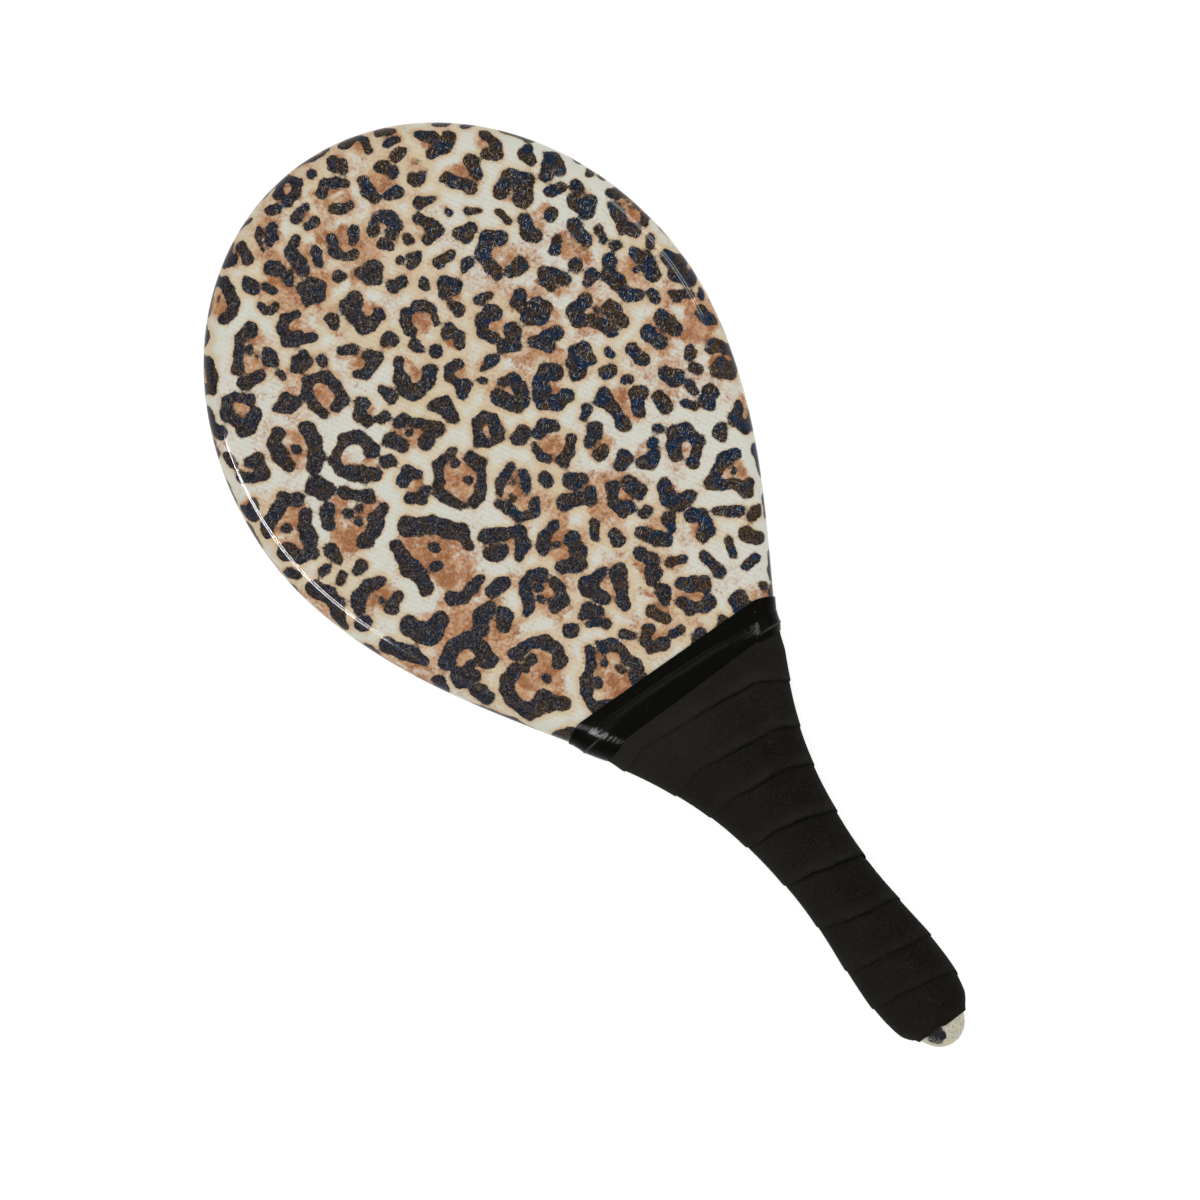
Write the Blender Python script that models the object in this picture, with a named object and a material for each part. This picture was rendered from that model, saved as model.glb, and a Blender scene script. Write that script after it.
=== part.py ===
"""Beach paddle: a flat, rounded-rim head in printed cloth and clear resin, and a tape-wound handle.

The paddle lies flat with its front face up. +Z is up, +Y runs from the butt to the top of the head,
and X is across. The origin is on the surface it lies on, under the middle of its length. All sizes
are in metres. Places along the paddle are stations: distances from the top of the head.
"""

import math

import bmesh
import bpy
import numpy as np
from mathutils import Vector

# Outline of the bare body, from the top of the head to the butt: the length of each stretch, and the
# body's width where that stretch ends
HEAD_TOP_LENGTH = 0.1233
HEAD_WIDTH = 0.2108
FLANK_LENGTH = 0.0411
FLANK_WIDTH = 0.1976
SHOULDER_LENGTH = 0.0411
SHOULDER_WIDTH = 0.1644
THROAT_LENGTH = 0.0493
THROAT_WIDTH = 0.1066
NECK_LENGTH = 0.0492
NECK_WIDTH = 0.0526
WRIST_LENGTH = 0.0410
WRIST_WIDTH = 0.0318
WAIST_LENGTH = 0.0310
WAIST_WIDTH = 0.0282
SWELL_LENGTH = 0.0410
SWELL_WIDTH = 0.0322
BUTT_LENGTH = 0.0330
BUTT_TAPER = math.radians(58)

# Section of the body: flat faces, a rounded rim and a short upright land where the halves meet
THICKNESS = 0.0200
RIM_LAND = 0.0020
BUTT_ROUNDING = 0.0015

# Layers, from the outside in
COVER_THICKNESS = 0.0006
LAMINATE_THICKNESS = 0.0010
RIM_BOND_THICKNESS = 0.0006
GAP = 0.0003

# V-splice between the foam head core and the wooden handle core
SPLICE_LENGTH = 0.0850
SPLICE_TIP_WIDTH = 0.0100
SPLICE_SHOULDER = 0.0060

# Grip: one soft tape wound from the butt up to the throat, its edges skived thin where turns overlap
GRIP_TAPE_WIDTH = 0.0260
GRIP_PITCH = 0.0200
GRIP_THICKNESS = 0.0018
GRIP_EDGE_THICKNESS = 0.00045
GRIP_TURN_GAP = 0.00055
GRIP_STEP_LENGTH = 0.0030
GRIP_BELOW_THROAT = 0.0082
BARE_BUTT_LENGTH = 0.0080
BUTT_EDGE_CROWN = 0.0025
GRIP_START_COLUMN = 18
GRIP_CLIMB_COLUMNS = 3
GRIP_SKIVE_COLUMNS = 12
GRIP_SQUEEZE = 0.45
SQUEEZE_RECOVERY = 0.0080

# Collar: glossy vinyl tape that covers the top end of the grip
COLLAR_WIDTH = 0.0170
COLLAR_ABOVE_THROAT = 0.0010
COLLAR_THICKNESS = 0.0004
COLLAR_LAP_GAP = 0.00045
COLLAR_RIDGE_LENGTH = 0.0020
COLLAR_START_COLUMN = 1
COLLAR_LAP_COLUMNS = 1

# How finely the round shapes are divided: the outline, stretch by stretch below the head's top, then the
# section, then the least share of the tape's width between two of its points, and how many points on
# each edge its gap is measured at
HEAD_TOP_SEGMENTS = 11
STRETCH_SEGMENTS = (3, 3, 3, 4, 3, 2, 3, 2)
BUTT_SEGMENTS = 3
RIM_SEGMENTS = 3
FLAT_SEGMENTS = 5
SHARP_ANGLE = math.radians(35)
LEAST_SPREAD = 0.05
GAP_SAMPLES = 4

# Sizes that follow from those above
RIM_RADIUS = (THICKNESS - RIM_LAND) / 2
BUTT_RADIUS = RIM_RADIUS + BUTT_ROUNDING
WIDEST_AT = HEAD_TOP_LENGTH
FLANK_AT = WIDEST_AT + FLANK_LENGTH
SHOULDER_AT = FLANK_AT + SHOULDER_LENGTH
THROAT_AT = SHOULDER_AT + THROAT_LENGTH
NECK_AT = THROAT_AT + NECK_LENGTH
WRIST_AT = NECK_AT + WRIST_LENGTH
WAIST_AT = WRIST_AT + WAIST_LENGTH
SWELL_AT = WAIST_AT + SWELL_LENGTH
LENGTH = SWELL_AT + BUTT_LENGTH
LAMINATE_DEPTH = COVER_THICKNESS + GAP
CORE_DEPTH = LAMINATE_DEPTH + LAMINATE_THICKNESS + GAP
GRIP_OVERLAP = GRIP_TAPE_WIDTH - GRIP_PITCH
GRIP_TOP = THROAT_AT + GRIP_BELOW_THROAT
GRIP_BOTTOM = LENGTH - BARE_BUTT_LENGTH
COLLAR_TOP = THROAT_AT - COLLAR_ABOVE_THROAT
COLLAR_BOTTOM = COLLAR_TOP + COLLAR_WIDTH
GRIP_RAISED = GRIP_OVERLAP + GRIP_STEP_LENGTH
GRIP_HEIGHT = GAP + GRIP_THICKNESS + GRIP_EDGE_THICKNESS + GRIP_TURN_GAP
SQUEEZED_HEIGHT = GRIP_SQUEEZE * (GRIP_THICKNESS + GRIP_EDGE_THICKNESS) + GRIP_TURN_GAP + GAP
COLLAR_LAP_HEIGHT = COLLAR_THICKNESS + COLLAR_LAP_GAP
COLLAR_HEIGHT = GAP + COLLAR_LAP_HEIGHT + SQUEEZED_HEIGHT + COLLAR_THICKNESS
MID_HEIGHT = THICKNESS / 2 + max(GRIP_HEIGHT, COLLAR_HEIGHT)


def clear_scene():
    for obj in list(bpy.data.objects):
        bpy.data.objects.remove(obj)


def material(name, colour, roughness):
    made = bpy.data.materials.new(name)
    made.use_nodes = True
    shader = made.node_tree.nodes["Principled BSDF"]
    shader.inputs["Base Color"].default_value = (*colour, 1.0)
    shader.inputs["Roughness"].default_value = roughness
    shader.inputs["Metallic"].default_value = 0.0
    return made


def smoothstep(x):
    x = min(max(x, 0.0), 1.0)
    return x * x * (3 - 2 * x)


# The outline as a smooth curve


def spline_slopes(stations, widths, first, last):
    """Slopes at the knots of the smoothest cubic through them, with its two end slopes given."""
    count = len(stations)
    rows = np.zeros((count, count))
    right = np.zeros(count)
    rows[0, 0] = rows[-1, -1] = 1.0
    right[0], right[-1] = first, last
    for k in range(1, count - 1):
        before = stations[k] - stations[k - 1]
        after = stations[k + 1] - stations[k]
        rows[k, k - 1] = 1 / before
        rows[k, k] = 2 / before + 2 / after
        rows[k, k + 1] = 1 / after
        right[k] = 3 * (
            (widths[k] - widths[k - 1]) / before**2 + (widths[k + 1] - widths[k]) / after**2
        )
    return np.linalg.solve(rows, right)


ARC_START = LENGTH - BUTT_RADIUS + BUTT_RADIUS * math.cos(BUTT_TAPER)
KNOTS = (WIDEST_AT, FLANK_AT, SHOULDER_AT, THROAT_AT, NECK_AT, WRIST_AT, WAIST_AT, SWELL_AT, ARC_START)
HALF_WIDTHS = (
    HEAD_WIDTH / 2,
    FLANK_WIDTH / 2,
    SHOULDER_WIDTH / 2,
    THROAT_WIDTH / 2,
    NECK_WIDTH / 2,
    WRIST_WIDTH / 2,
    WAIST_WIDTH / 2,
    SWELL_WIDTH / 2,
    BUTT_RADIUS * math.sin(BUTT_TAPER),
)
SLOPES = spline_slopes(KNOTS, HALF_WIDTHS, 0.0, -1 / math.tan(BUTT_TAPER))


def side_at(station):
    """The body's half width at a station below the widest line, and how fast it changes there."""
    station = min(max(station, KNOTS[0]), KNOTS[-1])
    k = 0
    while k < len(KNOTS) - 2 and station > KNOTS[k + 1]:
        k += 1
    span = KNOTS[k + 1] - KNOTS[k]
    t = (station - KNOTS[k]) / span
    w0, w1, m0, m1 = HALF_WIDTHS[k], HALF_WIDTHS[k + 1], SLOPES[k] * span, SLOPES[k + 1] * span
    half = (
        w0 * (2 * t**3 - 3 * t**2 + 1)
        + m0 * (t**3 - 2 * t**2 + t)
        + w1 * (3 * t**2 - 2 * t**3)
        + m1 * (t**3 - t**2)
    )
    slope = (
        w0 * (6 * t**2 - 6 * t)
        + m0 * (3 * t**2 - 4 * t + 1)
        + w1 * (6 * t - 6 * t**2)
        + m1 * (3 * t**2 - 2 * t)
    ) / span
    return half, slope


def rim_frame(station):
    """(x, station) on the right side of the outline, and its outward normal in the same terms."""
    half, slope = side_at(station)
    return Vector((half, station)), Vector((1.0, -slope)).normalized()


def right_side():
    """Points and outward normals of the outline's right side, from the head's top to the butt."""
    found = []
    for k in range(HEAD_TOP_SEGMENTS):
        turn = math.pi / 2 * k / HEAD_TOP_SEGMENTS
        point = Vector((HEAD_WIDTH / 2 * math.sin(turn), HEAD_TOP_LENGTH * (1 - math.cos(turn))))
        normal = Vector((HEAD_TOP_LENGTH * math.sin(turn), -HEAD_WIDTH / 2 * math.cos(turn)))
        found.append((point, normal.normalized()))
    for k, segments in enumerate(STRETCH_SEGMENTS):
        for step in range(segments):
            found.append(rim_frame(KNOTS[k] + (KNOTS[k + 1] - KNOTS[k]) * step / segments))
    centre = Vector((0.0, LENGTH - BUTT_RADIUS))
    for k in range(BUTT_SEGMENTS + 1):
        turn = BUTT_TAPER * (1 - k / BUTT_SEGMENTS)
        normal = Vector((math.sin(turn), math.cos(turn)))
        found.append((centre + BUTT_RADIUS * normal, normal))
    return found


def outline():
    """The whole outline: the right side down, then the left side back up."""
    right = right_side()
    left = [
        (Vector((-point.x, point.y)), Vector((-normal.x, normal.y)))
        for point, normal in reversed(right[1:-1])
    ]
    return right + left


OUTLINE = outline()
RIM_ANGLES = [math.pi / 2 * k / RIM_SEGMENTS for k in range(RIM_SEGMENTS + 1)]


def place(x, station, height):
    """A point of the paddle, with its height counted from the middle of the body's thickness."""
    return Vector((x, LENGTH / 2 - station, MID_HEIGHT + height))


def ring(depth, angle, height):
    """The outline, this deep under the body's surface and this far round its rim, as 3-D points."""
    reach = (RIM_RADIUS - depth) * math.cos(angle)
    points = []
    for point, normal in OUTLINE:
        spot = point + normal * (reach - RIM_RADIUS)
        points.append(place(spot.x, spot.y, height))
    return points


def rim_rings(depth, foot, side):
    """Rings from the rim's foot up to the edge of the flat face, on the front (1) or back (-1)."""
    rings = [ring(depth, 0.0, side * foot)]
    for angle in RIM_ANGLES:
        height = RIM_LAND / 2 + (RIM_RADIUS - depth) * math.sin(angle)
        rings.append(ring(depth, angle, side * height))
    return rings


# Meshes and objects


def skin(mesh, rings, looped=False):
    """Sides from ring to ring. The last ring joins the first if looped, and otherwise both are faces."""
    loops = [[mesh.verts.new(point) for point in points] for points in rings]
    if looped:
        loops.append(loops[0])
    else:
        mesh.faces.new(loops[0])
        mesh.faces.new(loops[-1])
    for low, high in zip(loops, loops[1:]):
        for k in range(len(low)):
            after = (k + 1) % len(low)
            mesh.faces.new((low[k], low[after], high[after], high[k]))


def finish(name, mesh, finish_material, body):
    """Turns the mesh into the named object, which is parented to the paddle's body."""
    bmesh.ops.recalc_face_normals(mesh, faces=mesh.faces)
    data = bpy.data.meshes.new(name)
    mesh.to_mesh(data)
    mesh.free()
    data.shade_smooth()
    data.set_sharp_from_angle(angle=SHARP_ANGLE)
    obj = bpy.data.objects.new(name, data)
    bpy.context.scene.collection.objects.link(obj)
    obj.parent = body
    if finish_material is not None:
        data.materials.append(finish_material)
    return obj


def half_shell(name, depth, thickness, foot, side, finish_material, body):
    """A moulded half: a flat face with its rim turned over, down to the line where the halves meet."""
    mesh = bmesh.new()
    outside = rim_rings(depth, foot, side)
    inside = rim_rings(depth + thickness, foot, side)
    skin(mesh, outside[::-1] + inside)
    return finish(name, mesh, finish_material, body)


def rim_bond(finish_material, body):
    """The line of thickened resin that glues the two laminate halves together, all round the rim."""
    mesh = bmesh.new()
    inner = LAMINATE_DEPTH + LAMINATE_THICKNESS
    half = RIM_BOND_THICKNESS / 2
    corners = ((LAMINATE_DEPTH, -half), (LAMINATE_DEPTH, half), (inner, half), (inner, -half))
    skin(mesh, [ring(depth, 0.0, height) for depth, height in corners], looped=True)
    return finish("rim_bond", mesh, finish_material, body)


# The two cores


def core_mesh():
    """What fills the laminate, before it is divided at the splice."""
    mesh = bmesh.new()
    back = rim_rings(CORE_DEPTH, RIM_LAND / 2, -1)[1:]
    front = rim_rings(CORE_DEPTH, RIM_LAND / 2, 1)[1:]
    skin(mesh, back[::-1] + front)
    return mesh


def splice_cutter(name, clearance, body):
    """A block that holds all of the handle core: its V tongue, and everything below its shoulders."""
    mesh = bmesh.new()
    tongue_half = NECK_WIDTH / 2 - CORE_DEPTH - SPLICE_SHOULDER
    clear_of_body = HEAD_WIDTH
    slant = math.hypot(SPLICE_LENGTH, tongue_half - SPLICE_TIP_WIDTH / 2) / SPLICE_LENGTH
    side = clearance * slant
    right = (
        (SPLICE_TIP_WIDTH / 2 + side, NECK_AT - SPLICE_LENGTH - clearance),
        (tongue_half + side, NECK_AT - clearance),
        (clear_of_body, NECK_AT - clearance),
        (clear_of_body, LENGTH + clear_of_body),
    )
    plan = [*right, *((-x, station) for x, station in reversed(right))]
    skin(mesh, [[place(x, s, height) for x, s in plan] for height in (-THICKNESS, THICKNESS)])
    cutter = finish(name, mesh, None, body)
    cutter.hide_render = True
    cutter.display_type = "WIRE"
    return cutter


def core(name, operation, clearance, finish_material, body):
    made = finish(name, core_mesh(), finish_material, body)
    cut = made.modifiers.new("splice", "BOOLEAN")
    cut.operation = operation
    cut.solver = "EXACT"
    cut.object = splice_cutter(name + "_cutter", clearance, body)
    return made


# What is wound round the handle. A column is one of the places round the body's section; going up the
# columns runs across the back to the right, up the right rim, back across the front and down the left
# rim.


def column_list():
    """Each column as (share of the half width, 1 front or -1 back, angle up from the rim's middle)."""
    rim = [(-1, -angle) for angle in reversed(RIM_ANGLES)] + [(1, angle) for angle in RIM_ANGLES[:-1]]
    across = [2 * k / FLAT_SEGMENTS - 1 for k in range(FLAT_SEGMENTS)]
    columns = [(share, -1, -math.pi / 2) for share in across]
    columns += [(1, up, angle) for up, angle in rim]
    columns += [(-share, 1, math.pi / 2) for share in across]
    columns += [(-1, -up, -angle) for up, angle in rim]
    return columns


COLUMNS = column_list()
COUNT = len(COLUMNS)


def surface(column, station, height):
    """The point at a column, this high over the body's surface. The station is the rim's there."""
    share, up, angle = COLUMNS[column % COUNT]
    point, normal = rim_frame(station)
    reach = RIM_RADIUS + height
    spot = point + normal * (reach * math.cos(angle) - RIM_RADIUS)
    return place(share * spot.x, spot.y, up * RIM_LAND / 2 + reach * math.sin(angle))


def share_round(column, station):
    """How far round the body a column is, as a share of the way round."""
    points = [surface(k, station, 0.0) for k in range(COUNT + 1)]
    steps = [(after - before).length for before, after in zip(points, points[1:])]
    return sum(steps[:column]) / sum(steps)


def grip_edge(step):
    """The station of the tape's lower edge, this many columns on from its start at the butt."""
    turn, column = divmod(GRIP_START_COLUMN + step, COUNT)
    start = GRIP_BOTTOM + GRIP_PITCH
    rough = start - GRIP_PITCH * (step / COUNT)
    started = share_round(GRIP_START_COLUMN, start)
    return start - GRIP_PITCH * (turn + share_round(column, rough) - started)


def squeeze(station):
    """The share of its thickness that the grip keeps where the collar pulls it down."""
    return GRIP_SQUEEZE + (1 - GRIP_SQUEEZE) * smoothstep((station - COLLAR_BOTTOM) / SQUEEZE_RECOVERY)


def skive(step):
    """The share of its thickness that the tape has here: its end at the butt is cut thin."""
    return smoothstep(step / GRIP_SKIVE_COLUMNS)


def grip_heights(along, station, step):
    """The tape's inner and outer height over the body, this far up from its lower edge."""
    keep = squeeze(station)
    edge = keep * GRIP_EDGE_THICKNESS
    bulk = keep * (GRIP_THICKNESS - GRIP_EDGE_THICKNESS)
    over = edge + GRIP_TURN_GAP
    climb_start = COUNT - 1 - GRIP_CLIMB_COLUMNS
    lift = smoothstep((step - climb_start) / GRIP_CLIMB_COLUMNS)
    if along < GRIP_OVERLAP:
        inner = over + bulk * skive(step - COUNT) * (1 - along / GRIP_OVERLAP)
    else:
        inner = over * max(0.0, 1 - (along - GRIP_OVERLAP) / GRIP_STEP_LENGTH)
    taper = min(1.0, (GRIP_TAPE_WIDTH - along) / GRIP_OVERLAP)
    outer = edge + bulk * skive(step) * taper + lift * over * max(0.0, 1 - along / GRIP_RAISED)
    return GAP + lift * inner, GAP + outer


def grip_section(step):
    """The tape's outline at one column: its inner side from the lower edge up, and its outer side back."""
    column = (GRIP_START_COLUMN + step) % COUNT
    crown = abs(math.sin(COLUMNS[column][2]))
    edge = grip_edge(step)
    low = max(0.0, edge - GRIP_BOTTOM - BUTT_EDGE_CROWN * crown)
    high = min(GRIP_TAPE_WIDTH, edge - GRIP_TOP)
    bevel = GRIP_TAPE_WIDTH - GRIP_OVERLAP
    third = (GRIP_TAPE_WIDTH - GRIP_RAISED) / 3
    inner = [0.0, GRIP_OVERLAP, GRIP_RAISED, GRIP_RAISED + third, GRIP_TAPE_WIDTH - third, GRIP_TAPE_WIDTH]
    outer = [0.0, GRIP_RAISED, (GRIP_RAISED + bevel) / 2, bevel, GRIP_TAPE_WIDTH]
    inside = []
    outside = []
    for places, side, points in ((inner, 0, inside), (outer, 1, outside)):
        for along in spread(places, low, high):
            station = edge - along
            points.append(surface(column, station, grip_heights(along, station, step)[side]))
    return inside + outside[::-1]


def spread(places, low, high):
    """The places kept between two limits, and at least a little apart from each other."""
    apart = (high - low) * LEAST_SPREAD
    last = len(places) - 1
    return [min(max(p, low + apart * k), high - apart * (last - k)) for k, p in enumerate(places)]


def grip_steps():
    """How many columns the tape passes before its upper end is hidden under the collar."""
    steps = COUNT
    while grip_edge(steps) > GRIP_TOP + GRIP_OVERLAP:
        steps += 1
    return steps


def least_gap(sections):
    """The smallest distance between one turn of the tape and the next."""
    dense = []
    for points in sections:
        around = np.array([tuple(p) for p in points])
        after = np.roll(around, -1, axis=0)
        parts = [around + (after - around) * k / GAP_SAMPLES for k in range(GAP_SAMPLES)]
        dense.append(np.concatenate(parts))
    least = math.inf
    for k in range(len(dense) - COUNT):
        away = dense[k][:, None, :] - dense[k + COUNT][None, :, :]
        least = min(least, float(np.sqrt((away**2).sum(axis=2)).min()))
    return least


def grip_tape(finish_material, body):
    mesh = bmesh.new()
    sections = [grip_section(step) for step in range(grip_steps() + 1)]
    print(f"grip: {(len(sections) - 1) / COUNT:.1f} turns, least gap {least_gap(sections) * 1000:.2f} mm")
    skin(mesh, sections)
    return finish("grip_tape", mesh, finish_material, body)


def collar_section(step):
    """The vinyl tape's outline at one column, which climbs over the top end of the grip."""
    column = COLLAR_START_COLUMN + step
    lapped = step >= COUNT
    low = GAP + lapped * COLLAR_LAP_HEIGHT
    high = low + SQUEEZED_HEIGHT
    ridge_end = GRIP_TOP - GAP
    inner = (
        (COLLAR_TOP, low),
        (ridge_end - COLLAR_RIDGE_LENGTH, low),
        (ridge_end, high),
        (COLLAR_BOTTOM, high),
    )
    outer = [(station, height + COLLAR_THICKNESS) for station, height in reversed(inner)]
    return [surface(column, station, height) for station, height in (*inner, *outer)]


def collar_tape(finish_material, body):
    mesh = bmesh.new()
    skin(mesh, [collar_section(step) for step in range(COUNT + COLLAR_LAP_COLUMNS + 1)])
    return finish("collar_tape", mesh, finish_material, body)


def main():
    clear_scene()
    body = bpy.data.objects.new("paddle", None)
    bpy.context.scene.collection.objects.link(body)

    print_finish = material("printed_cloth_in_resin", (0.62, 0.49, 0.36), 0.12)
    laminate_finish = material("glass_laminate", (0.78, 0.80, 0.66), 0.35)
    bond_finish = material("bond_resin", (0.72, 0.66, 0.48), 0.40)
    foam_finish = material("rigid_foam", (0.85, 0.78, 0.58), 0.90)
    wood_finish = material("handle_wood", (0.60, 0.42, 0.24), 0.65)
    grip_finish = material("grip_foam_tape", (0.012, 0.011, 0.009), 0.85)
    vinyl_finish = material("vinyl_tape", (0.008, 0.008, 0.006), 0.18)

    cover_foot = GAP / 2
    laminate_foot = RIM_BOND_THICKNESS / 2 + GAP
    for side, name in ((1, "front"), (-1, "back")):
        half_shell(name + "_cover", 0.0, COVER_THICKNESS, cover_foot, side, print_finish, body)
        half_shell(
            name + "_laminate",
            LAMINATE_DEPTH,
            LAMINATE_THICKNESS,
            laminate_foot,
            side,
            laminate_finish,
            body,
        )
    rim_bond(bond_finish, body)
    core("head_core", "DIFFERENCE", GAP, foam_finish, body)
    core("handle_core", "INTERSECT", 0.0, wood_finish, body)
    grip_tape(grip_finish, body)
    collar_tape(vinyl_finish, body)


main()
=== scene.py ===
import math

import bmesh
import bpy
import numpy as np
from mathutils import Matrix, Vector


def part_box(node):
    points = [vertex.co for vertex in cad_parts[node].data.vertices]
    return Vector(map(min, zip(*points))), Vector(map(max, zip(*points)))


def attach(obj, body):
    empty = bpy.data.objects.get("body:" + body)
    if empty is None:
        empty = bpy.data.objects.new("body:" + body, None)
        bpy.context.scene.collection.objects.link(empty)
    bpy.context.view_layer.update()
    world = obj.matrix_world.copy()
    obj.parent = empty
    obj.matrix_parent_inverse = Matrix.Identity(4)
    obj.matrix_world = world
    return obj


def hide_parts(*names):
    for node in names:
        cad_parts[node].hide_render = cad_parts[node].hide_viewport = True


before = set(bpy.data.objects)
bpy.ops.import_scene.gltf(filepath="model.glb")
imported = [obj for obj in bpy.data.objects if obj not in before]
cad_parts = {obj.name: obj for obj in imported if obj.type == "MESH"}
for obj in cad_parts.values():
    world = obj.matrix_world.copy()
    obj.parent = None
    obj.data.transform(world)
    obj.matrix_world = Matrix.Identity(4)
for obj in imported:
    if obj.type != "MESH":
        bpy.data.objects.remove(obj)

# The paddle's looks. Places on it are given as in its solid model: x across, stations from the top of the
# head towards the butt, and heights from the middle of the body's thickness. All in metres, but the print
# in millimetres.
MM = 0.001

# Outline of the bare body, stretch by stretch from the top of the head: lengths, and widths at their ends
HEAD_TOP_LENGTH = 0.1233
HEAD_WIDTH = 0.2108
STRETCH_LENGTHS = (0.0411, 0.0411, 0.0493, 0.0492, 0.0410, 0.0310, 0.0410)
STRETCH_WIDTHS = (0.1976, 0.1644, 0.1066, 0.0526, 0.0318, 0.0282, 0.0322)
THROAT = 3
BUTT_LENGTH = 0.0330
BUTT_TAPER = math.radians(58)

# Section of the body and the layers on it
THICKNESS = 0.0200
RIM_LAND = 0.0020
RIM_RADIUS = (THICKNESS - RIM_LAND) / 2
BUTT_RADIUS = RIM_RADIUS + 0.0015
COVER_THICKNESS = 0.0006
GAP = 0.0003
SEAM_HALF = 0.00005
# Heights over which the rim turns into the flat face, where the cloth's threads show
FLAT_FROM = 0.0094
FLAT_SPAN = 0.0005

# Grip: one soft tape wound from the butt to the throat
GRIP_TAPE_WIDTH = 0.0260
GRIP_PITCH = 0.0200
GRIP_OVERLAP = GRIP_TAPE_WIDTH - GRIP_PITCH
GRIP_LOW_HEIGHT = 0.00222
GRIP_EDGE_STEP = 0.00055
GRIP_EDGE_ROUNDING = 0.00045
GRIP_HIDDEN_THICKNESS = 0.00045
GRIP_TURN_CLEARANCE = 0.00006
GRIP_STEP_LENGTH = 0.0020
GRIP_BELOW_THROAT = 0.0082
GRIP_BARE_BUTT = 0.0080
# Towards the butt the tape is pulled thin over its last millimetres, and its end is a little aslant
BUTT_ENDING = 0.0075
BUTT_END_SHARE = 0.25
BUTT_END_HEIGHT = 0.0008
BUTT_SLANT = 0.0004
BUTT_SPARE = 0.0070
BUTT_MARGIN = 0.0002
GRIP_TOP_SPARE = 0.0040
GRIP_START_COLUMN = 80
GRIP_CLIMB_SHARE = 0.12
GRIP_SKIVE_SHARE = 0.12
GRIP_SKIVED_TO = 0.15
# Under the collar the grip is squeezed to this share of its height
GRIP_SQUEEZE = 0.45
SQUEEZE_RECOVERY = 0.0080
# How far each seam lies below its even place, from the butt up, counted on the right rim
SEAM_SHIFTS = (-0.0002, 0.0012, 0.0016, -0.0014, -0.0029, -0.0039, 0.0003, 0.0032, 0.0030)
FIRST_SEAM_TURN = 1.7
# Waves of the tape's edge: size, waves a turn and phase, then how its step comes and goes
EDGE_WANDER = ((0.00022, 3.3, 0.4), (0.00014, 7.7, 2.0), (0.00008, 15.1, 1.1))
STEP_WAVES = ((0.16, 2.3, 0.5), (0.12, 5.9, 1.7))
EDGE_JOG = 0.0007
EDGE_JOG_TURN = 8.89
EDGE_JOG_TURNS = 0.015

# Collar: glossy vinyl tape over the grip's upper end
COLLAR_WIDTH = 0.0170
COLLAR_ABOVE_THROAT = 0.0010
COLLAR_THICKNESS = 0.0004
COLLAR_LAP_GAP = 0.00005
COLLAR_RIDGE_LENGTH = 0.0056
# The collar's upper edge drops round the rims, and the end of the grip under it is slanted
COLLAR_RIM_DROP = 0.0037
COLLAR_SLANT = 0.0014
RIDGE_SHIFT = 0.0011
RIDGE_SLANT = 0.00275
RIDGE_BEND = 0.00275
COLLAR_START_COLUMN = 2
COLLAR_LAP_COLUMNS = 9
COLLAR_SAG = 0.00018
RIDGE_LEAD = 0.0006
# Folds from the tape's pull, this far above the grip's end: height, place, half width and wandering
COLLAR_FOLDS = ((0.00007, 0.0052, 0.0004, 0.0004), (0.00005, 0.0041, 0.0003, 0.0))
RIM_FOLD_AT = 0.0012
RIM_FOLD_HEIGHT = 0.00030
RIM_FOLD_WIDTH = 0.0005
# Width of the painted highlight along the fold round each rim
RIM_CREASE_HIGHLIGHT_WIDTH = 0.0003

# Fineness of the meshes
COVER_SPACING = 0.0012
COVER_HIDDEN_SPACING = 0.0040
COVER_FLAT_STEPS = 150
COVER_RIM_STEPS = 28
INSIDE_FLAT_STEPS = 4
INSIDE_RIM_STEPS = 4
WRAP_FLAT_STEPS = 30
WRAP_RIM_STEPS = 8
EDGE_CORNER_STEPS = 5
GRIP_OUTER_STEPS = 22
GRIP_INNER_STEPS = 16
COLLAR_STEPS = 56
SHARP_ANGLE = math.radians(40)

# Print: the cloth's grid and its rosettes, in millimetres
PRINT_STEP = 0.5
PRINT_LOW = np.array((-125.0, -20.0))
PRINT_HIGH = np.array((125.0, 290.0))
PRINT_SHAPE = tuple(((PRINT_HIGH - PRINT_LOW) / PRINT_STEP).astype(int) + 1)
PRINT_SEEDS = {1: 31, -1: 19}
ROSETTE_SORTS = ((0.95, 1.30, 2500), (0.62, 0.88, 5000), (0.46, 0.56, 1500))
ROSETTE_STRETCH = 1.25
ROSETTE_CROWDING = 0.12
RING_COUNT = 96
RING = np.arange(RING_COUNT) * math.tau / RING_COUNT
BROWN_ZONES = ((-8, 35, 45), (5, 200, 48), (-50, 190, 35), (45, 120, 30), (85, 150, 25))
NAVY_ZONES = ((48, 95, 28), (30, 150, 32), (60, 185, 25), (-70, 200, 25), (20, 205, 20))
COOL_ZONES = (
    (-80, 70, 24),
    (-62, 105, 30),
    (-48, 160, 28),
    (72, 90, 36),
    (60, 188, 34),
    (48, 245, 22),
    (90, 60, 20),
)
BEAD_WAIST = 0.20
SLIT = 0.70
# Sizes of rosettes and strokes, and how much larger they are to the left, lower left, right and low end
ROSETTE_SIZE = 13.8
ROSETTE_GROWTH = (9.0, 6.5, 3.2, 1.2)
STROKE_WIDTH = 5.25
STROKE_GROWTH = (1.3, 1.2)
STROKE_SPREAD = 0.5
STROKE_LIMITS = (4.4, 8.2)
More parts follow.
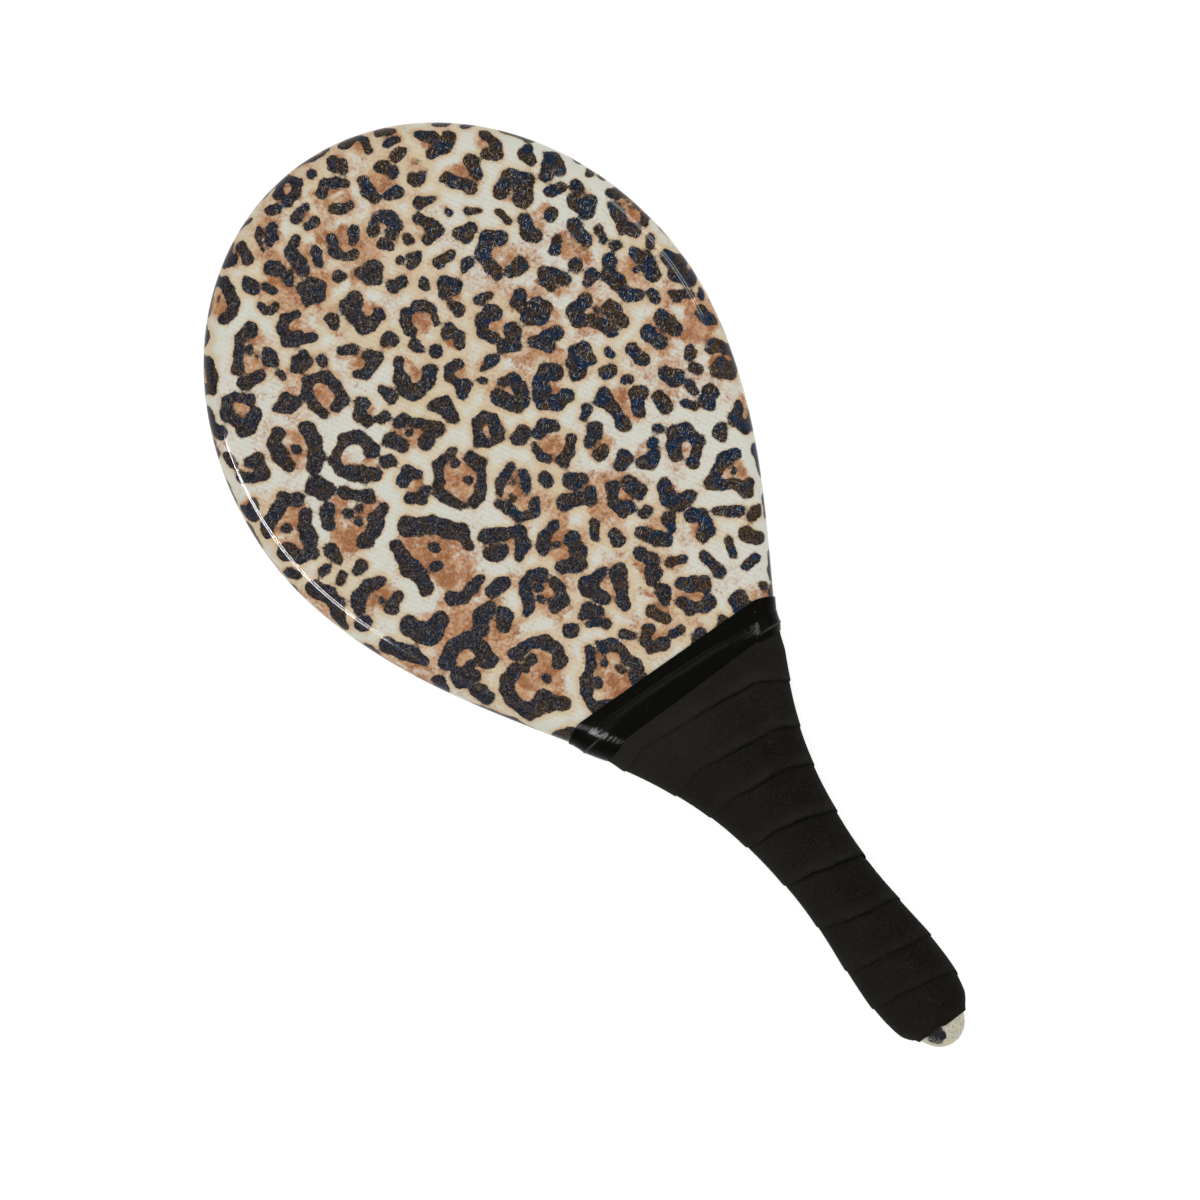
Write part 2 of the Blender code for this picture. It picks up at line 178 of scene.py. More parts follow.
# Gaps in a ring: its largest size in strokes, fewest gaps, chances from there up, chance of a wide one
RING_GAPS = (
    (1.5, 1, (0.50, 0.40, 0.10), 0.45),
    (2.2, 1, (0.20, 0.42, 0.28, 0.10), 0.45),
    (math.inf, 2, (0.25, 0.35, 0.25, 0.15), 0.75),
)
SMALLEST_REACH = 1.4
NEIGHBOUR_REACH = 60
DOT_ROOM = 3.4
FILL_TRIES = 6000
SMALLEST_FILL = 2.1
FAR = 9.0
# The bare nub: where it starts, its one mark, and its shares of tan, navy and cool
NUB_FROM = 400
NUB_SPOT = (-4.9, 443.6)
NUB_SPOT_RADIUS = 4.3
NUB_FIELDS = (0.0, 0.3, 0.35)

# Threads of the cloth in millimetres, with the directions across both sets, and rovings of the laminate
THREAD_SPACING = 1.0
THREADS_A = (595.0, 804.0)
THREADS_B = (866.0, -500.0)
ROVING = 0.0024
# Ways in which the print and its painted thread highlights change over the cloth, and where along one it is
# worn off the nub
HEAVY_WAY = (8.0, 0.0, 0.0)
LIVELY_WAY = (5.0, -2.0, 0.0)
NUB_WEAR_WAY = (1.0, -0.6, 0.0)
NUB_WEAR = (-0.2705, -0.2745)
# Where the grip is painted paler as if lit, across and along it, where the painted shade at its seams is
# stronger, and where the collar bends
PALER_LEFT = (0.012, -0.014)
PALER_UP = (-0.085, -0.050)
SEAMS_RIGHT = (-0.030, 0.008)
SEAMS_UP = (-0.215, -0.150)
COLLAR_BEND = (0.022, 0.036)

# Colours of the print, as a screen shows them
CREAM_COOL = (219, 220, 209)
CREAM_WARM = (217, 201, 171)
BEIGE = (208, 178, 142)
TAN = (195, 147, 107)
BROWN = (160, 103, 64)
PALE_FLECK = (230, 206, 170)
WORN_CREAM = (206, 203, 184)
WORN_GREY = (170, 166, 148)
FRINGE = (104, 80, 60)
INK_BLACK = (3, 4, 4)
INK_BROWN = (88, 66, 42)
INK_NAVY = (16, 52, 86)
INK_WORN = (22, 28, 36)
# Painted highlight on threads that seem to catch the light
THREAD_HIGHLIGHT = (165, 165, 162)
THREAD_SHADE = (233, 233, 233)
WHITE = (255, 255, 255)

# Colours of the tapes
GRIP_DARK = (8, 7, 5)
GRIP_LIGHT = (35, 33, 28)
# Dust on the grip, and also the colour of its painted light and painted highlight
GRIP_DUST_AND_LIGHT = (47, 45, 40)
# Painted shade under the edges of the tape's turns
GRIP_SEAM_SHADE = (3, 3, 1)
VINYL_BLACK = (5, 4, 1)
VINYL_SCUFF = (16, 16, 14)
# Painted highlight along the fold round each rim
VINYL_CREASE_HIGHLIGHT = (66, 66, 62)

# Colours of the hidden layers and cores
LAMINATE_GREEN = (190, 196, 160)
LAMINATE_PALE = (214, 218, 192)
ROVING_WHITE = (234, 236, 222)
BOND_LIGHT = (206, 190, 146)
BOND_DARK = (176, 156, 108)
BOND_BUBBLE = (226, 216, 184)
FOAM_LIGHT = (236, 220, 180)
FOAM_DARK = (222, 202, 156)
FOAM_CELL = (186, 162, 112)
WOOD_LIGHT = (196, 156, 108)
WOOD_DARK = (150, 108, 66)

# Frame of the photograph: the paddle's axis is turned in it, and its middle is a little off the centre
PICTURE_TURN = math.radians(-37)
PICTURE_WIDTH = 0.49315
PICTURE_CENTRE = (-0.0071, 0.0079)
CAMERA_HEIGHT = 1.5

# Floor and light
FLOOR_REACH = 3.0
FLOOR_GREY = (224.6, 224.6, 224.6)
FLOOR_GLOW = 0.60
WORLD_LIGHT = 0.80
HEAD_MIDDLE = Vector((0.0, 0.08, 0.02))
# Lamps: their ends, width and radiance. Strips that show as thin lines along the rims
RIM_STRIPS = {
    "left_outer": ((-0.973, 0.518, 0.746), (-0.597, -0.149, 1.089), 0.044, 150.0),
    "left_inner": ((-0.844, 0.349, 0.935), (-0.385, -0.056, 1.180), 0.036, 135.0),
    "left_veil": ((-0.909, 0.434, 0.840), (-0.505, -0.108, 1.130), 0.260, 9.0),
    "right_outer": ((0.955, 0.406, 0.815), (0.943, -0.105, 0.857), 0.080, 26.0),
    "right_inner": ((0.838, 0.370, 0.935), (0.705, -0.054, 1.050), 0.080, 26.0),
}
# Large ones that light the whole
LARGE_LAMPS = {
    "key": ((-1.0, 0.6, 1.1), (-0.7, -0.5, 1.5), 0.90, 0.9),
    "fill": ((1.0, -0.5, 1.0), (1.0, 0.6, 1.0), 0.90, 0.8),
}
# Small ones that show in the collar
COLLAR_LAMPS = {
    "collar_glow": ((-0.30, 0.62, 1.08), (0.30, 0.62, 1.08), 0.26, 2.5),
    "collar_left": ((-0.40, 0.22, 1.1), (-0.38, 0.42, 1.1), 0.36, 160.0),
    "collar_left_low": ((-0.36, -0.16, 1.1), (-0.38, 0.20, 1.1), 0.40, 45.0),
    "collar_right": ((0.32, 0.20, 1.1), (0.32, 0.38, 1.1), 0.20, 60.0),
}


def smoothstep(x):
    x = np.clip(x, 0.0, 1.0)
    return x * x * (3 - 2 * x)


def hill(x, width):
    """1 at 0, and down to nothing on both sides over about this width."""
    return np.exp(-((x / width) ** 2))


def spline_slopes(stations, values, first, last):
    """Slopes at the knots of the smoothest cubic through them, with its two end slopes given."""
    count = len(stations)
    rows = np.zeros((count, count))
    right = np.zeros(count)
    rows[0, 0] = rows[-1, -1] = 1.0
    right[0], right[-1] = first, last
    for k in range(1, count - 1):
        before = stations[k] - stations[k - 1]
        after = stations[k + 1] - stations[k]
        rows[k, k - 1] = 1 / before
        rows[k, k] = 2 / before + 2 / after
        rows[k, k + 1] = 1 / after
        right[k] = 3 * ((values[k] - values[k - 1]) / before**2 + (values[k + 1] - values[k]) / after**2)
    return np.linalg.solve(rows, right)


def cubic(knots, values, slopes, at):
    """The smooth curve through the knots, and its slope, at each place."""
    at = np.clip(at, knots[0], knots[-1])
    k = np.clip(np.searchsorted(knots, at) - 1, 0, len(knots) - 2)
    span = knots[k + 1] - knots[k]
    t = (at - knots[k]) / span
    rise = values[k + 1] - values[k]
    first, last = slopes[k] * span - rise, rise - slopes[k + 1] * span
    bow = (1 - t) * first + t * last
    value = values[k] + t * rise + t * (1 - t) * bow
    slope = rise + (1 - 2 * t) * bow + t * (1 - t) * (last - first)
    return value, slope / span


STRETCH_ENDS = HEAD_TOP_LENGTH + np.cumsum((0.0, *STRETCH_LENGTHS))
LENGTH = STRETCH_ENDS[-1] + BUTT_LENGTH
ARC_START = LENGTH - BUTT_RADIUS + BUTT_RADIUS * math.cos(BUTT_TAPER)
KNOTS = np.array((*STRETCH_ENDS, ARC_START))
HALF_WIDTHS = np.array((HEAD_WIDTH, *STRETCH_WIDTHS, 2 * BUTT_RADIUS * math.sin(BUTT_TAPER))) / 2
SLOPES = spline_slopes(KNOTS, HALF_WIDTHS, 0.0, -1 / math.tan(BUTT_TAPER))
THROAT_AT = STRETCH_ENDS[THROAT]
GRIP_TOP = THROAT_AT + GRIP_BELOW_THROAT
GRIP_BOTTOM = LENGTH - GRIP_BARE_BUTT
COLLAR_TOP = THROAT_AT - COLLAR_ABOVE_THROAT
COLLAR_BOTTOM = COLLAR_TOP + COLLAR_WIDTH
FRONT_LOW, FRONT_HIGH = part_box("front_cover")
BACK_LOW, BACK_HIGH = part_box("back_cover")
MID_HEIGHT = (FRONT_HIGH.z + BACK_LOW.z) / 2


def place(x, station, height):
    """Points of the paddle in the frame that the solids are in."""
    x, station, height = np.broadcast_arrays(x, station, height)
    return np.stack((x, LENGTH / 2 - station, MID_HEIGHT + height), axis=-1)


def side_at(station):
    return cubic(KNOTS, HALF_WIDTHS, SLOPES, station)


def right_side(hidden_from, hidden_to):
    """Points (x, station) of the outline's right side from top to butt, and its outward normals."""
    turns = np.linspace(0.0, math.pi / 2, round(HEAD_TOP_LENGTH * math.pi / 2 / COVER_SPACING))
    top = np.stack((HEAD_WIDTH / 2 * np.sin(turns), HEAD_TOP_LENGTH * (1 - np.cos(turns))), axis=1)
    top_normals = np.stack((HEAD_TOP_LENGTH * np.sin(turns), -HEAD_WIDTH / 2 * np.cos(turns)), axis=1)
    parts = (
        (KNOTS[0], hidden_from, COVER_SPACING),
        (hidden_from, hidden_to, COVER_HIDDEN_SPACING),
        (hidden_to, KNOTS[-1], COVER_SPACING),
    )
    stations = [
        np.linspace(start, end, round((end - start) / spacing), endpoint=False)
        for start, end, spacing in parts
    ]
    # The first station is the end of the top arc
    stations = np.concatenate(stations)[1:]
    half, slope = side_at(stations)
    side = np.stack((half, stations), axis=1)
    side_normals = np.stack((np.ones_like(slope), -slope), axis=1)
    turns = np.linspace(BUTT_TAPER, 0.0, round(BUTT_RADIUS * BUTT_TAPER / COVER_SPACING) + 1)
    butt_normals = np.stack((np.sin(turns), np.cos(turns)), axis=1)
    butt = np.array((0.0, LENGTH - BUTT_RADIUS)) + BUTT_RADIUS * butt_normals
    points = np.concatenate((top, side, butt))
    normals = np.concatenate((top_normals, side_normals, butt_normals))
    return points, normals / np.linalg.norm(normals, axis=1)[:, None]


# Meshes


def set_attribute(mesh, name, values):
    """A number, or three, for each point of the mesh, which the materials read by name."""
    values = np.asarray(values, dtype=np.float32)
    kind, field = ("FLOAT_VECTOR", "vector") if values.ndim == 2 else ("FLOAT", "value")
    attribute = mesh.attributes.new(name, kind, "POINT")
    attribute.data.foreach_set(field, values.ravel())


def quads(index):
    """Faces between neighbouring rows and columns of a grid of point numbers."""
    corners = (index[:-1, :-1], index[:-1, 1:], index[1:, 1:], index[1:, :-1])
    return np.stack(corners, axis=-1).reshape(-1, 4).tolist()


def finish(name, points, faces, attributes, look, node):
    """Makes a piece, which takes the place of a solid and rides with the paddle."""
    mesh = bpy.data.meshes.new(name)
    mesh.from_pydata(points.tolist(), [], faces)
    for key, values in attributes.items():
        set_attribute(mesh, key, values)
    work = bmesh.new()
    work.from_mesh(mesh)
    bmesh.ops.remove_doubles(work, verts=work.verts, dist=MM / 1000)
    bmesh.ops.recalc_face_normals(work, faces=work.faces)
    work.to_mesh(mesh)
    work.free()
    mesh.shade_smooth()
    mesh.set_sharp_from_angle(angle=SHARP_ANGLE)
    mesh.materials.append(look)
    made = put(name, mesh)
    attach(made, "root")
    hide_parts(node)
    return made


# Printed covers


def cover_rows(points, normals, depth, flat_steps, rim_steps, side):
    """A half shell's surface row by row: each from the left foot over the flat face to the right foot.

    Gives its points, and where each lies on the cloth before the cloth was folded round the rim.
    """
    radius = RIM_RADIUS - depth
    angles = np.linspace(0.0, math.pi / 2, rim_steps + 1)
    inner = points - normals * RIM_RADIUS
    out = np.concatenate(((radius,), radius * np.cos(angles)))
    height = np.concatenate(((SEAM_HALF,), RIM_LAND / 2 + radius * np.sin(angles)))
    foot = RIM_RADIUS * math.pi / 2 + RIM_LAND / 2 - SEAM_HALF
    unrolled = np.concatenate(((foot,), RIM_RADIUS * (math.pi / 2 - angles)))
    right = inner[:, None, :] + normals[:, None, :] * out[None, :, None]
    right_cloth = inner[:, None, :] + normals[:, None, :] * unrolled[None, :, None]
    across = np.linspace(-1.0, 1.0, flat_steps + 1)[1:-1]
    flat = np.stack((inner[:, :1] * across, np.repeat(inner[:, 1:], len(across), axis=1)), axis=-1)
    mirror = np.array((-1.0, 1.0))
    plan = np.concatenate((right * mirror, flat, right[:, ::-1]), axis=1)
    cloth = np.concatenate((right_cloth * mirror, flat, right_cloth[:, ::-1]), axis=1)
    rise = np.concatenate((height, np.full(len(across), height[-1]), height[::-1]))
    return place(plan[..., 0], plan[..., 1], side * rise[None, :]), cloth


def printed_cover(name, node, side, look):
    """Half of the printed cloth under its clear resin: a flat face with the rim turned over."""
    points, normals = right_side(COLLAR_TOP, GRIP_BOTTOM - COVER_HIDDEN_SPACING)
    outer, cloth = cover_rows(points, normals, 0.0, COVER_FLAT_STEPS, COVER_RIM_STEPS, side)
    inside_steps = (INSIDE_FLAT_STEPS, INSIDE_RIM_STEPS)
    inner, inner_cloth = cover_rows(points, normals, COVER_THICKNESS, *inside_steps, side)
    outside, inside = (np.arange(rows[..., 0].size).reshape(rows.shape[:2]) for rows in (outer, inner))
    inside = inside + outside.size
    faces = quads(outside) + quads(inside)
    for column in (0, -1):
        faces += quads(np.stack((outside[:, column], inside[:, column]), axis=1))
    all_points = np.concatenate((outer.reshape(-1, 3), inner.reshape(-1, 3)))
    cloth = np.concatenate((cloth.reshape(-1, 2), inner_cloth.reshape(-1, 2)))
    attributes = {
        "cloth": np.column_stack((cloth, np.full(len(cloth), side * MM))),
        **dict(zip(("dark", "tan", "navy", "cool"), marks(cloth, side))),
        "flat": smoothstep((np.abs(all_points[:, 2] - MID_HEIGHT) - FLAT_FROM) / FLAT_SPAN),
    }
    return finish(name, all_points, faces, attributes, look, node)


# The print: rosettes worked out by formula on the flat cloth, in millimetres


def heading(way):
    return np.array((math.cos(way), math.sin(way)))


def draw(rng, first, chances):
    """A whole number, from the first one up, each with its chance."""
    return first + int(rng.choice(len(chances), p=chances))


def soft_noise(rng, size):
    """Smooth noise over the cloth, with waves of about this size."""
    values = rng.standard_normal([math.ceil(n * PRINT_STEP / size) + 3 for n in PRINT_SHAPE])
    for axis, n in enumerate(PRINT_SHAPE):
        at = np.arange(n) * PRINT_STEP / size + 1
        k = at.astype(int)
        t = at - k
        weights = ((1 - t) ** 3, 3 * t**3 - 6 * t**2 + 4, -3 * t**3 + 3 * t**2 + 3 * t + 1, t**3)
        form = [n if a == axis else 1 for a in (0, 1)]
        values = sum(np.take(values, k - 1 + j, axis=axis) * w.reshape(form) for j, w in enumerate(weights))
    return values / values.std()


def sample(field, places):
    """A field's values at places on the cloth, between those of its grid."""
    at = np.clip((places - PRINT_LOW) / PRINT_STEP, 0, np.array(PRINT_SHAPE) - 1.001)
    k = at.astype(int)
    u, v = np.moveaxis(at - k, -1, 0)
    i, j = np.moveaxis(k, -1, 0)
    near = field[i, j] * (1 - u) + field[i + 1, j] * u
    far = field[i, j + 1] * (1 - u) + field[i + 1, j + 1] * u
    return near * (1 - v) + far * v


def blurred(field, size):
    reach = math.ceil(2.5 * size / PRINT_STEP)
    offsets = np.arange(-reach, reach + 1)
    weights = hill(offsets * PRINT_STEP, size * math.sqrt(2))
    weights /= weights.sum()
    for axis, n in enumerate(PRINT_SHAPE):
        shifted = [np.take(field, np.clip(np.arange(n) + j, 0, n - 1), axis=axis) for j in offsets]
        field = sum(w * part for w, part in zip(weights, shifted))
    return field


def sides_of(spot):
    """How far a place belongs to the coarse left, the heavy right and the low end of the print."""
    x, station = spot
    left = smoothstep((-x - 5 + 0.30 * (station - 70)) / 75)
    right = smoothstep((x + 0.2 * (station - 60)) / 70)
    low = smoothstep((station - 190) / 60)
    return left, right * (1 - left), low


def rosette_size(spot):
    left, right, low = sides_of(spot)
    lower_left = left * smoothstep((spot[1] - 110) / 50)
    shares = (left, lower_left, right, -low * (1 - left))
    return ROSETTE_SIZE + sum(more * share for more, share in zip(ROSETTE_GROWTH, shares))


def stroke_width(rng, spot):
    left, right, _ = sides_of(spot)
    grown = STROKE_WIDTH + STROKE_GROWTH[0] * left + STROKE_GROWTH[1] * right
    return grown + STROKE_SPREAD * rng.standard_normal()


def random_spot(rng):
    return PRINT_LOW + rng.random(2) * (PRINT_HIGH - PRINT_LOW)


def scatter(rng):
    """Middles and radii of the rosettes, the largest sort first, each where it has room."""
    centres = []
    radii = []
    for smallest, largest, tries in ROSETTE_SORTS:
        for _ in range(tries):
            spot = random_spot(rng)
            size = rosette_size(spot)
            radius = 0.5 * size * (smallest + (largest - smallest) * rng.random())
            if centres:
                away = (np.array(centres) - spot) / np.array((1.0, ROSETTE_STRETCH))
                room = np.hypot(*away.T) - (np.array(radii) + radius)
                if room.min() < -ROSETTE_CROWDING * size:
                    continue
            centres.append(spot)
            radii.append(radius)
    return np.array(centres), np.array(radii)


def shapes_of(rng, centres):
    """Each rosette's stretch and the bearing of its longer side."""
    count = len(centres)
    stretch = 0.32 * rng.random(count)
    bearing = math.pi / 2 + 0.6 * rng.standard_normal(count)
    low_left = (centres[:, 0] < -15) & (centres[:, 1] > 150)
    stretch = np.where(low_left, 0.25 + 0.25 * rng.random(count), stretch)
    bearing = np.where(low_left, math.radians(37) + 0.35 * rng.standard_normal(count), bearing)
    return np.stack((stretch, bearing), axis=1)


def ring_noise(rng, waves):
    values = np.zeros(RING_COUNT)
    for k in range(1, waves + 1):
        a, b = rng.standard_normal(2) / math.sqrt(waves)
        values += a * np.cos(k * RING) + b * np.sin(k * RING)
    return values


def lean(shape, bearing):
    return 1 + shape[0] * np.cos(2 * (bearing - shape[1]))


def cell_reach(k, centres, radii, shapes):
    """How far a rosette may reach each way round before it meets its neighbours' cells."""
    away = centres - centres[k]
    distance = np.hypot(*away.T)
    near = (distance > 0) & (distance < NEIGHBOUR_REACH)
    bearing = np.arctan2(away[near, 1], away[near, 0])
    own = radii[k] * lean(shapes[k], bearing)
    share = distance[near] * own / (own + radii[near] * lean(shapes[near].T, bearing))
    cosine = np.cos(RING[:, None] - bearing)
    reach = np.where(cosine > 0.05, share / np.maximum(cosine, 0.05), 1e3)
    soft = (reach**-7.0).sum(axis=1) ** (-1 / 7.0)
    reach = np.minimum(soft, 1.75 * radii[k] * lean(shapes[k], RING))
    weights = np.cos(np.arange(-6, 7) / 7 * math.pi / 2) ** 2
    return sum(w * np.roll(reach, j) for j, w in zip(range(-6, 7), weights / weights.sum()))


def open_rows(rng, count, gaps, often_wide):
    """The numbers of a ring's beads, row by row, with one or two left out at each gap."""
    start = rng.integers(0, count)
    spots = [start + j * count / gaps + 0.4 * rng.standard_normal() for j in range(gaps)]
    cuts = sorted({int(round(spot)) % count for spot in spots})
    dropped = set()
    for number, cut in enumerate(cuts):
        wide = rng.random() < often_wide
        if number == 0 or wide:
            dropped.add(cut)
        if number == 0 and wide and count > 5:
            dropped.add((cut + 1) % count)
    rows = []
    for cut, end in zip(cuts, cuts[1:] + cuts[:1]):
        row = [(cut + i) % count for i in range((end - cut) % count or count)]
        rows.append([i for i in row if i not in dropped])
    return [row for row in rows if row]


class Cloth:
    """Distances to the nearest and the second nearest stroke, and how tan the ground is."""

    def __init__(self):
        self.axes = [low + PRINT_STEP * np.arange(n) for low, n in zip(PRINT_LOW, PRINT_SHAPE)]
        self.first = np.full(PRINT_SHAPE, FAR)
        self.second = np.full(PRINT_SHAPE, FAR)
        self.tan = np.zeros(PRINT_SHAPE)

    def around(self, low, high):
        """The part of the grid from one corner to another, and its places."""
        spans = []
        for axis, start, end in zip(self.axes, low, high):
            spans.append(slice(*np.searchsorted(axis, (start, end))))
        return tuple(spans), self.axes[0][spans[0]][:, None], self.axes[1][spans[1]][None, :]

    def stroke(self, beads, waist=BEAD_WAIST):
        """Beads (x, station, radius) joined in a row, a little narrower between one and the next."""
        beads = np.array(beads, dtype=float)
        margin = beads[:, 2].max() + 6
        spans, x, y = self.around(beads[:, :2].min(axis=0) - margin, beads[:, :2].max(axis=0) + margin)
        nearest = np.hypot(x - beads[0, 0], y - beads[0, 1]) - beads[0, 2]
        for a, b in zip(beads[:-1], beads[1:]):
            way = b[:2] - a[:2]
            length = max(math.hypot(*way), 1e-6)
            along = np.clip(((x - a[0]) * way[0] + (y - a[1]) * way[1]) / length**2, 0, 1)
            away = np.hypot(x - a[0] - along * way[0], y - a[1] - along * way[1])
            radius = (a[2] + (b[2] - a[2]) * along) * (1 - waist * np.sin(math.pi * along) ** 2)
            nearest = np.minimum(nearest, away - radius)
        first, second = self.first[spans], self.second[spans]
        self.second[spans] = np.minimum(second, np.maximum(first, nearest))
        self.first[spans] = np.minimum(first, nearest)

    def pair(self, at, way, half, radii, waist=BEAD_WAIST):
        """Two joined beads, one each side of a place."""
        side = half * heading(way)
        self.stroke([(*(at - side), radii[0]), (*(at + side), radii[1])], waist)

    def spot(self, rng, centre, reach):
        """A solid spot of two to four lobes that fills a cell."""
        lobes = draw(rng, 2, (0.40, 0.40, 0.20))
        opposite = reach + np.roll(reach, RING_COUNT // 2)
        first = RING[np.argmax(opposite)] if lobes == 2 else rng.random() * math.tau
        beads = []
        for j in range(lobes):
            way = first + (j + 0.30 * (rng.random() - 0.5)) * math.tau / lobes
            far, side = (
                reach[int(round(turned / RING[1])) % RING_COUNT] for turned in (way, way + math.pi / 2)
            )
            radius = min(far, side * 1.05) * (0.54 + 0.16 * rng.random())
            off = far * (0.95 + 0.08 * rng.random()) - radius
            beads.append((*(centre + off * heading(way)), radius))
        if lobes > 2:
            beads.append(beads[0])
        self.stroke(beads)

    def rosette(self, rng, k, centres, radii, shapes):
        """One rosette in its cell: a broken ring of beads with dots and tan inside, or a solid spot."""
        reach = cell_reach(k, centres, radii, shapes)
        channel = 0.55 + 0.055 * reach.mean() + 0.85 * rng.random()
        out = np.maximum(reach - channel * (1 + 0.20 * ring_noise(rng, 4)), SMALLEST_REACH)
        size = out.mean()
        centre = centres[k]
        width = min(float(np.clip(stroke_width(rng, centre), *STROKE_LIMITS)), 0.95 * size)
        ratio = size / stroke_width(rng, centre)
        if ratio < 0.84 or (ratio < 1.15 and rng.random() < 0.30):
            self.spot(rng, centre, out)
            return
        middle = np.maximum(out - width / 2, 0.30 * width)
        ring = centre + middle[:, None] * np.stack((np.cos(RING), np.sin(RING)), axis=1)
        steps = np.linalg.norm(np.roll(ring, -1, axis=0) - ring, axis=1)
        sums = np.concatenate(((0.0,), np.cumsum(steps)))
        count = max(int(round(sums[-1] / (0.80 * width))), 4)
        fewest, chances, often_wide = next(given for limit, *given in RING_GAPS if ratio < limit)
        gaps = min(draw(rng, fewest, chances), max(count // 3, 1))
        first = rng.random()
        at = (first + (np.arange(count) + 0.22 * (rng.random(count) - 0.5)) / count) % 1.0 * sums[-1]
        closed = np.concatenate((ring, ring[:1]))
        beads = np.stack([np.interp(at, sums, closed[:, a]) for a in (0, 1)], axis=1)
        sizes = width / 2 * np.clip(1 + 0.18 * rng.standard_normal(count), 0.75, 1.35)
        outward = (beads - centre) / np.linalg.norm(beads - centre, axis=1)[:, None]
        beads += outward * (0.13 * width * rng.standard_normal(count)[:, None])
        for row in open_rows(rng, count, gaps, often_wide):
            swell = 1.0 if len(row) > 1 else 1.12
            self.stroke([(*beads[i], sizes[i] * swell) for i in row])
        inner = np.maximum(out - width, 0.3)
        self.dots(rng, centre, inner)
        self.tint(rng, centre, out, inner, width)

    def dots(self, rng, centre, inner):
        """A few dots where the ring leaves room for them."""
        room = inner.mean()
        if room < DOT_ROOM:
            return
        few, many = (0, (0.45, 0.40, 0.15)), (1, (0.3, 0.3, 0.25, 0.15))
        count = draw(rng, *(few if room < 5 else many))
        first = rng.random() * math.tau
        for j in range(count):
            way = first + j * math.tau / count + 0.5 * rng.standard_normal()
            reach = inner[int(way / RING[1]) % RING_COUNT]
            radius = 1.35 + 0.45 * rng.random() + 0.09 * room
            off = reach * (0.20 + 0.30 * rng.random()) * (1.2 if count == 1 else 1.7)
            at = centre + min(off, max(reach - radius - 0.9, 0)) * heading(way)
            turned = rng.random() * math.pi
            self.pair(at, turned, 0.4 * radius * rng.random(), (radius, radius * 0.95), 0.0)

    def tint(self, rng, centre, out, inner, width):
        """Tan inside the ring, out to under its strokes."""
        reach = out.max()
        spans, x, y = self.around(centre - reach - 2, centre + reach + 2)
        x, y = x - centre[0], y - centre[1]
        far = np.hypot(x, y)
        bearing = np.arctan2(y, x) % math.tau
        edge = np.interp(bearing, np.append(RING, math.tau), np.append(inner, inner[0]))
        tint = 0.60 + 0.40 * rng.random()
        inside = smoothstep((edge + 0.75 * width - far) / (0.30 * edge + 0.35 * width) + 0.1)
        self.tan[spans] = np.maximum(self.tan[spans], inside * tint)

    def fill(self, rng):
        """Small marks in what room is left."""
        for _ in range(FILL_TRIES):
            spot = random_spot(rng)
            room = sample(self.first, spot)
            size = rosette_size(spot)
            radius = min(room - 0.05 * size - 0.8, 0.19 * size)
            if radius > SMALLEST_FILL and sample(self.tan, spot) < 0.3:
                way = rng.random() * math.pi
                self.pair(spot, way, 0.55 * radius, (radius, radius * (0.8 + 0.2 * rng.random())))

    def near(self, zones):
        """How near each place is to the middles of some zones, from 0 to 1."""
        x, station = np.meshgrid(*self.axes, indexing="ij")
        return np.max([hill(np.hypot(x - at, station - down), size) for at, down, size in zones], axis=0)

    def soften(self, rng):
        """Turns distances into the fields that the shader reads: dark, tan, navy and cool."""
        slit = SLIT + 0.18 * soft_noise(rng, 4.0)
        dark = np.maximum(self.first, slit - (self.second - self.first) / 2)
        shift = [soft_noise(rng, 9.0) * 0.8 + soft_noise(rng, 3.0) * 0.28 for _ in range(2)]
        grid = np.stack(np.meshgrid(*self.axes, indexing="ij"), axis=-1)
        moved = grid + np.stack(shift, axis=-1)
        self.dark = 1.12 * blurred(np.clip(sample(dark, moved), -3.0, 4.0), 0.75) - 0.02
        patches = 0.74 + 0.20 * soft_noise(rng, 3.4) + 0.16 * soft_noise(rng, 1.5)
        rosettes = np.clip(blurred(sample(self.tan, moved), 0.7) * patches * 1.1, 0, 1)
        zone = np.clip(0.95 * self.near(BROWN_ZONES) + 0.15 * soft_noise(rng, 25.0), 0, 1)
        zone = zone * smoothstep(0.5 + 0.30 * soft_noise(rng, 5.0) + 0.18 * soft_noise(rng, 1.8))
        self.tan = 1 - (1 - rosettes) * (1 - 0.85 * zone)
        self.navy = np.clip(0.34 + 0.20 * self.near(NAVY_ZONES) + 0.09 * soft_noise(rng, 12.0), 0, 1)
        self.cool = np.clip(0.22 + 0.78 * self.near(COOL_ZONES) + 0.17 * soft_noise(rng, 9.0), 0, 1)


def leopard_cloth(seed):
    rng = np.random.default_rng(seed)
    cloth = Cloth()
    centres, radii = scatter(rng)
    shapes = shapes_of(rng, centres)
    for k in range(len(radii)):
        cloth.rosette(rng, k, centres, radii, shapes)
    cloth.fill(rng)
    cloth.soften(rng)
    return cloth


def marks(cloth, side):
    """What is printed at places on the cloth: distance to the dark marks in mm, tan, navy and cool."""
    drawn = leopard_cloth(PRINT_SEEDS[side])
    places = cloth / MM
    fields = [sample(field, places) for field in (drawn.dark, drawn.tan, drawn.navy, drawn.cool)]
    spot = np.hypot(places[:, 0] - NUB_SPOT[0], places[:, 1] - NUB_SPOT[1]) - NUB_SPOT_RADIUS
    at_butt = places[:, 1] > NUB_FROM
    return [np.where(at_butt, value, field) for value, field in zip((spot, *NUB_FIELDS), fields)]


# What is wound round the handle. A column is one of the places round the body's section; going up the
# columns runs across the back to the right, up the right rim, back across the front and down the left rim.


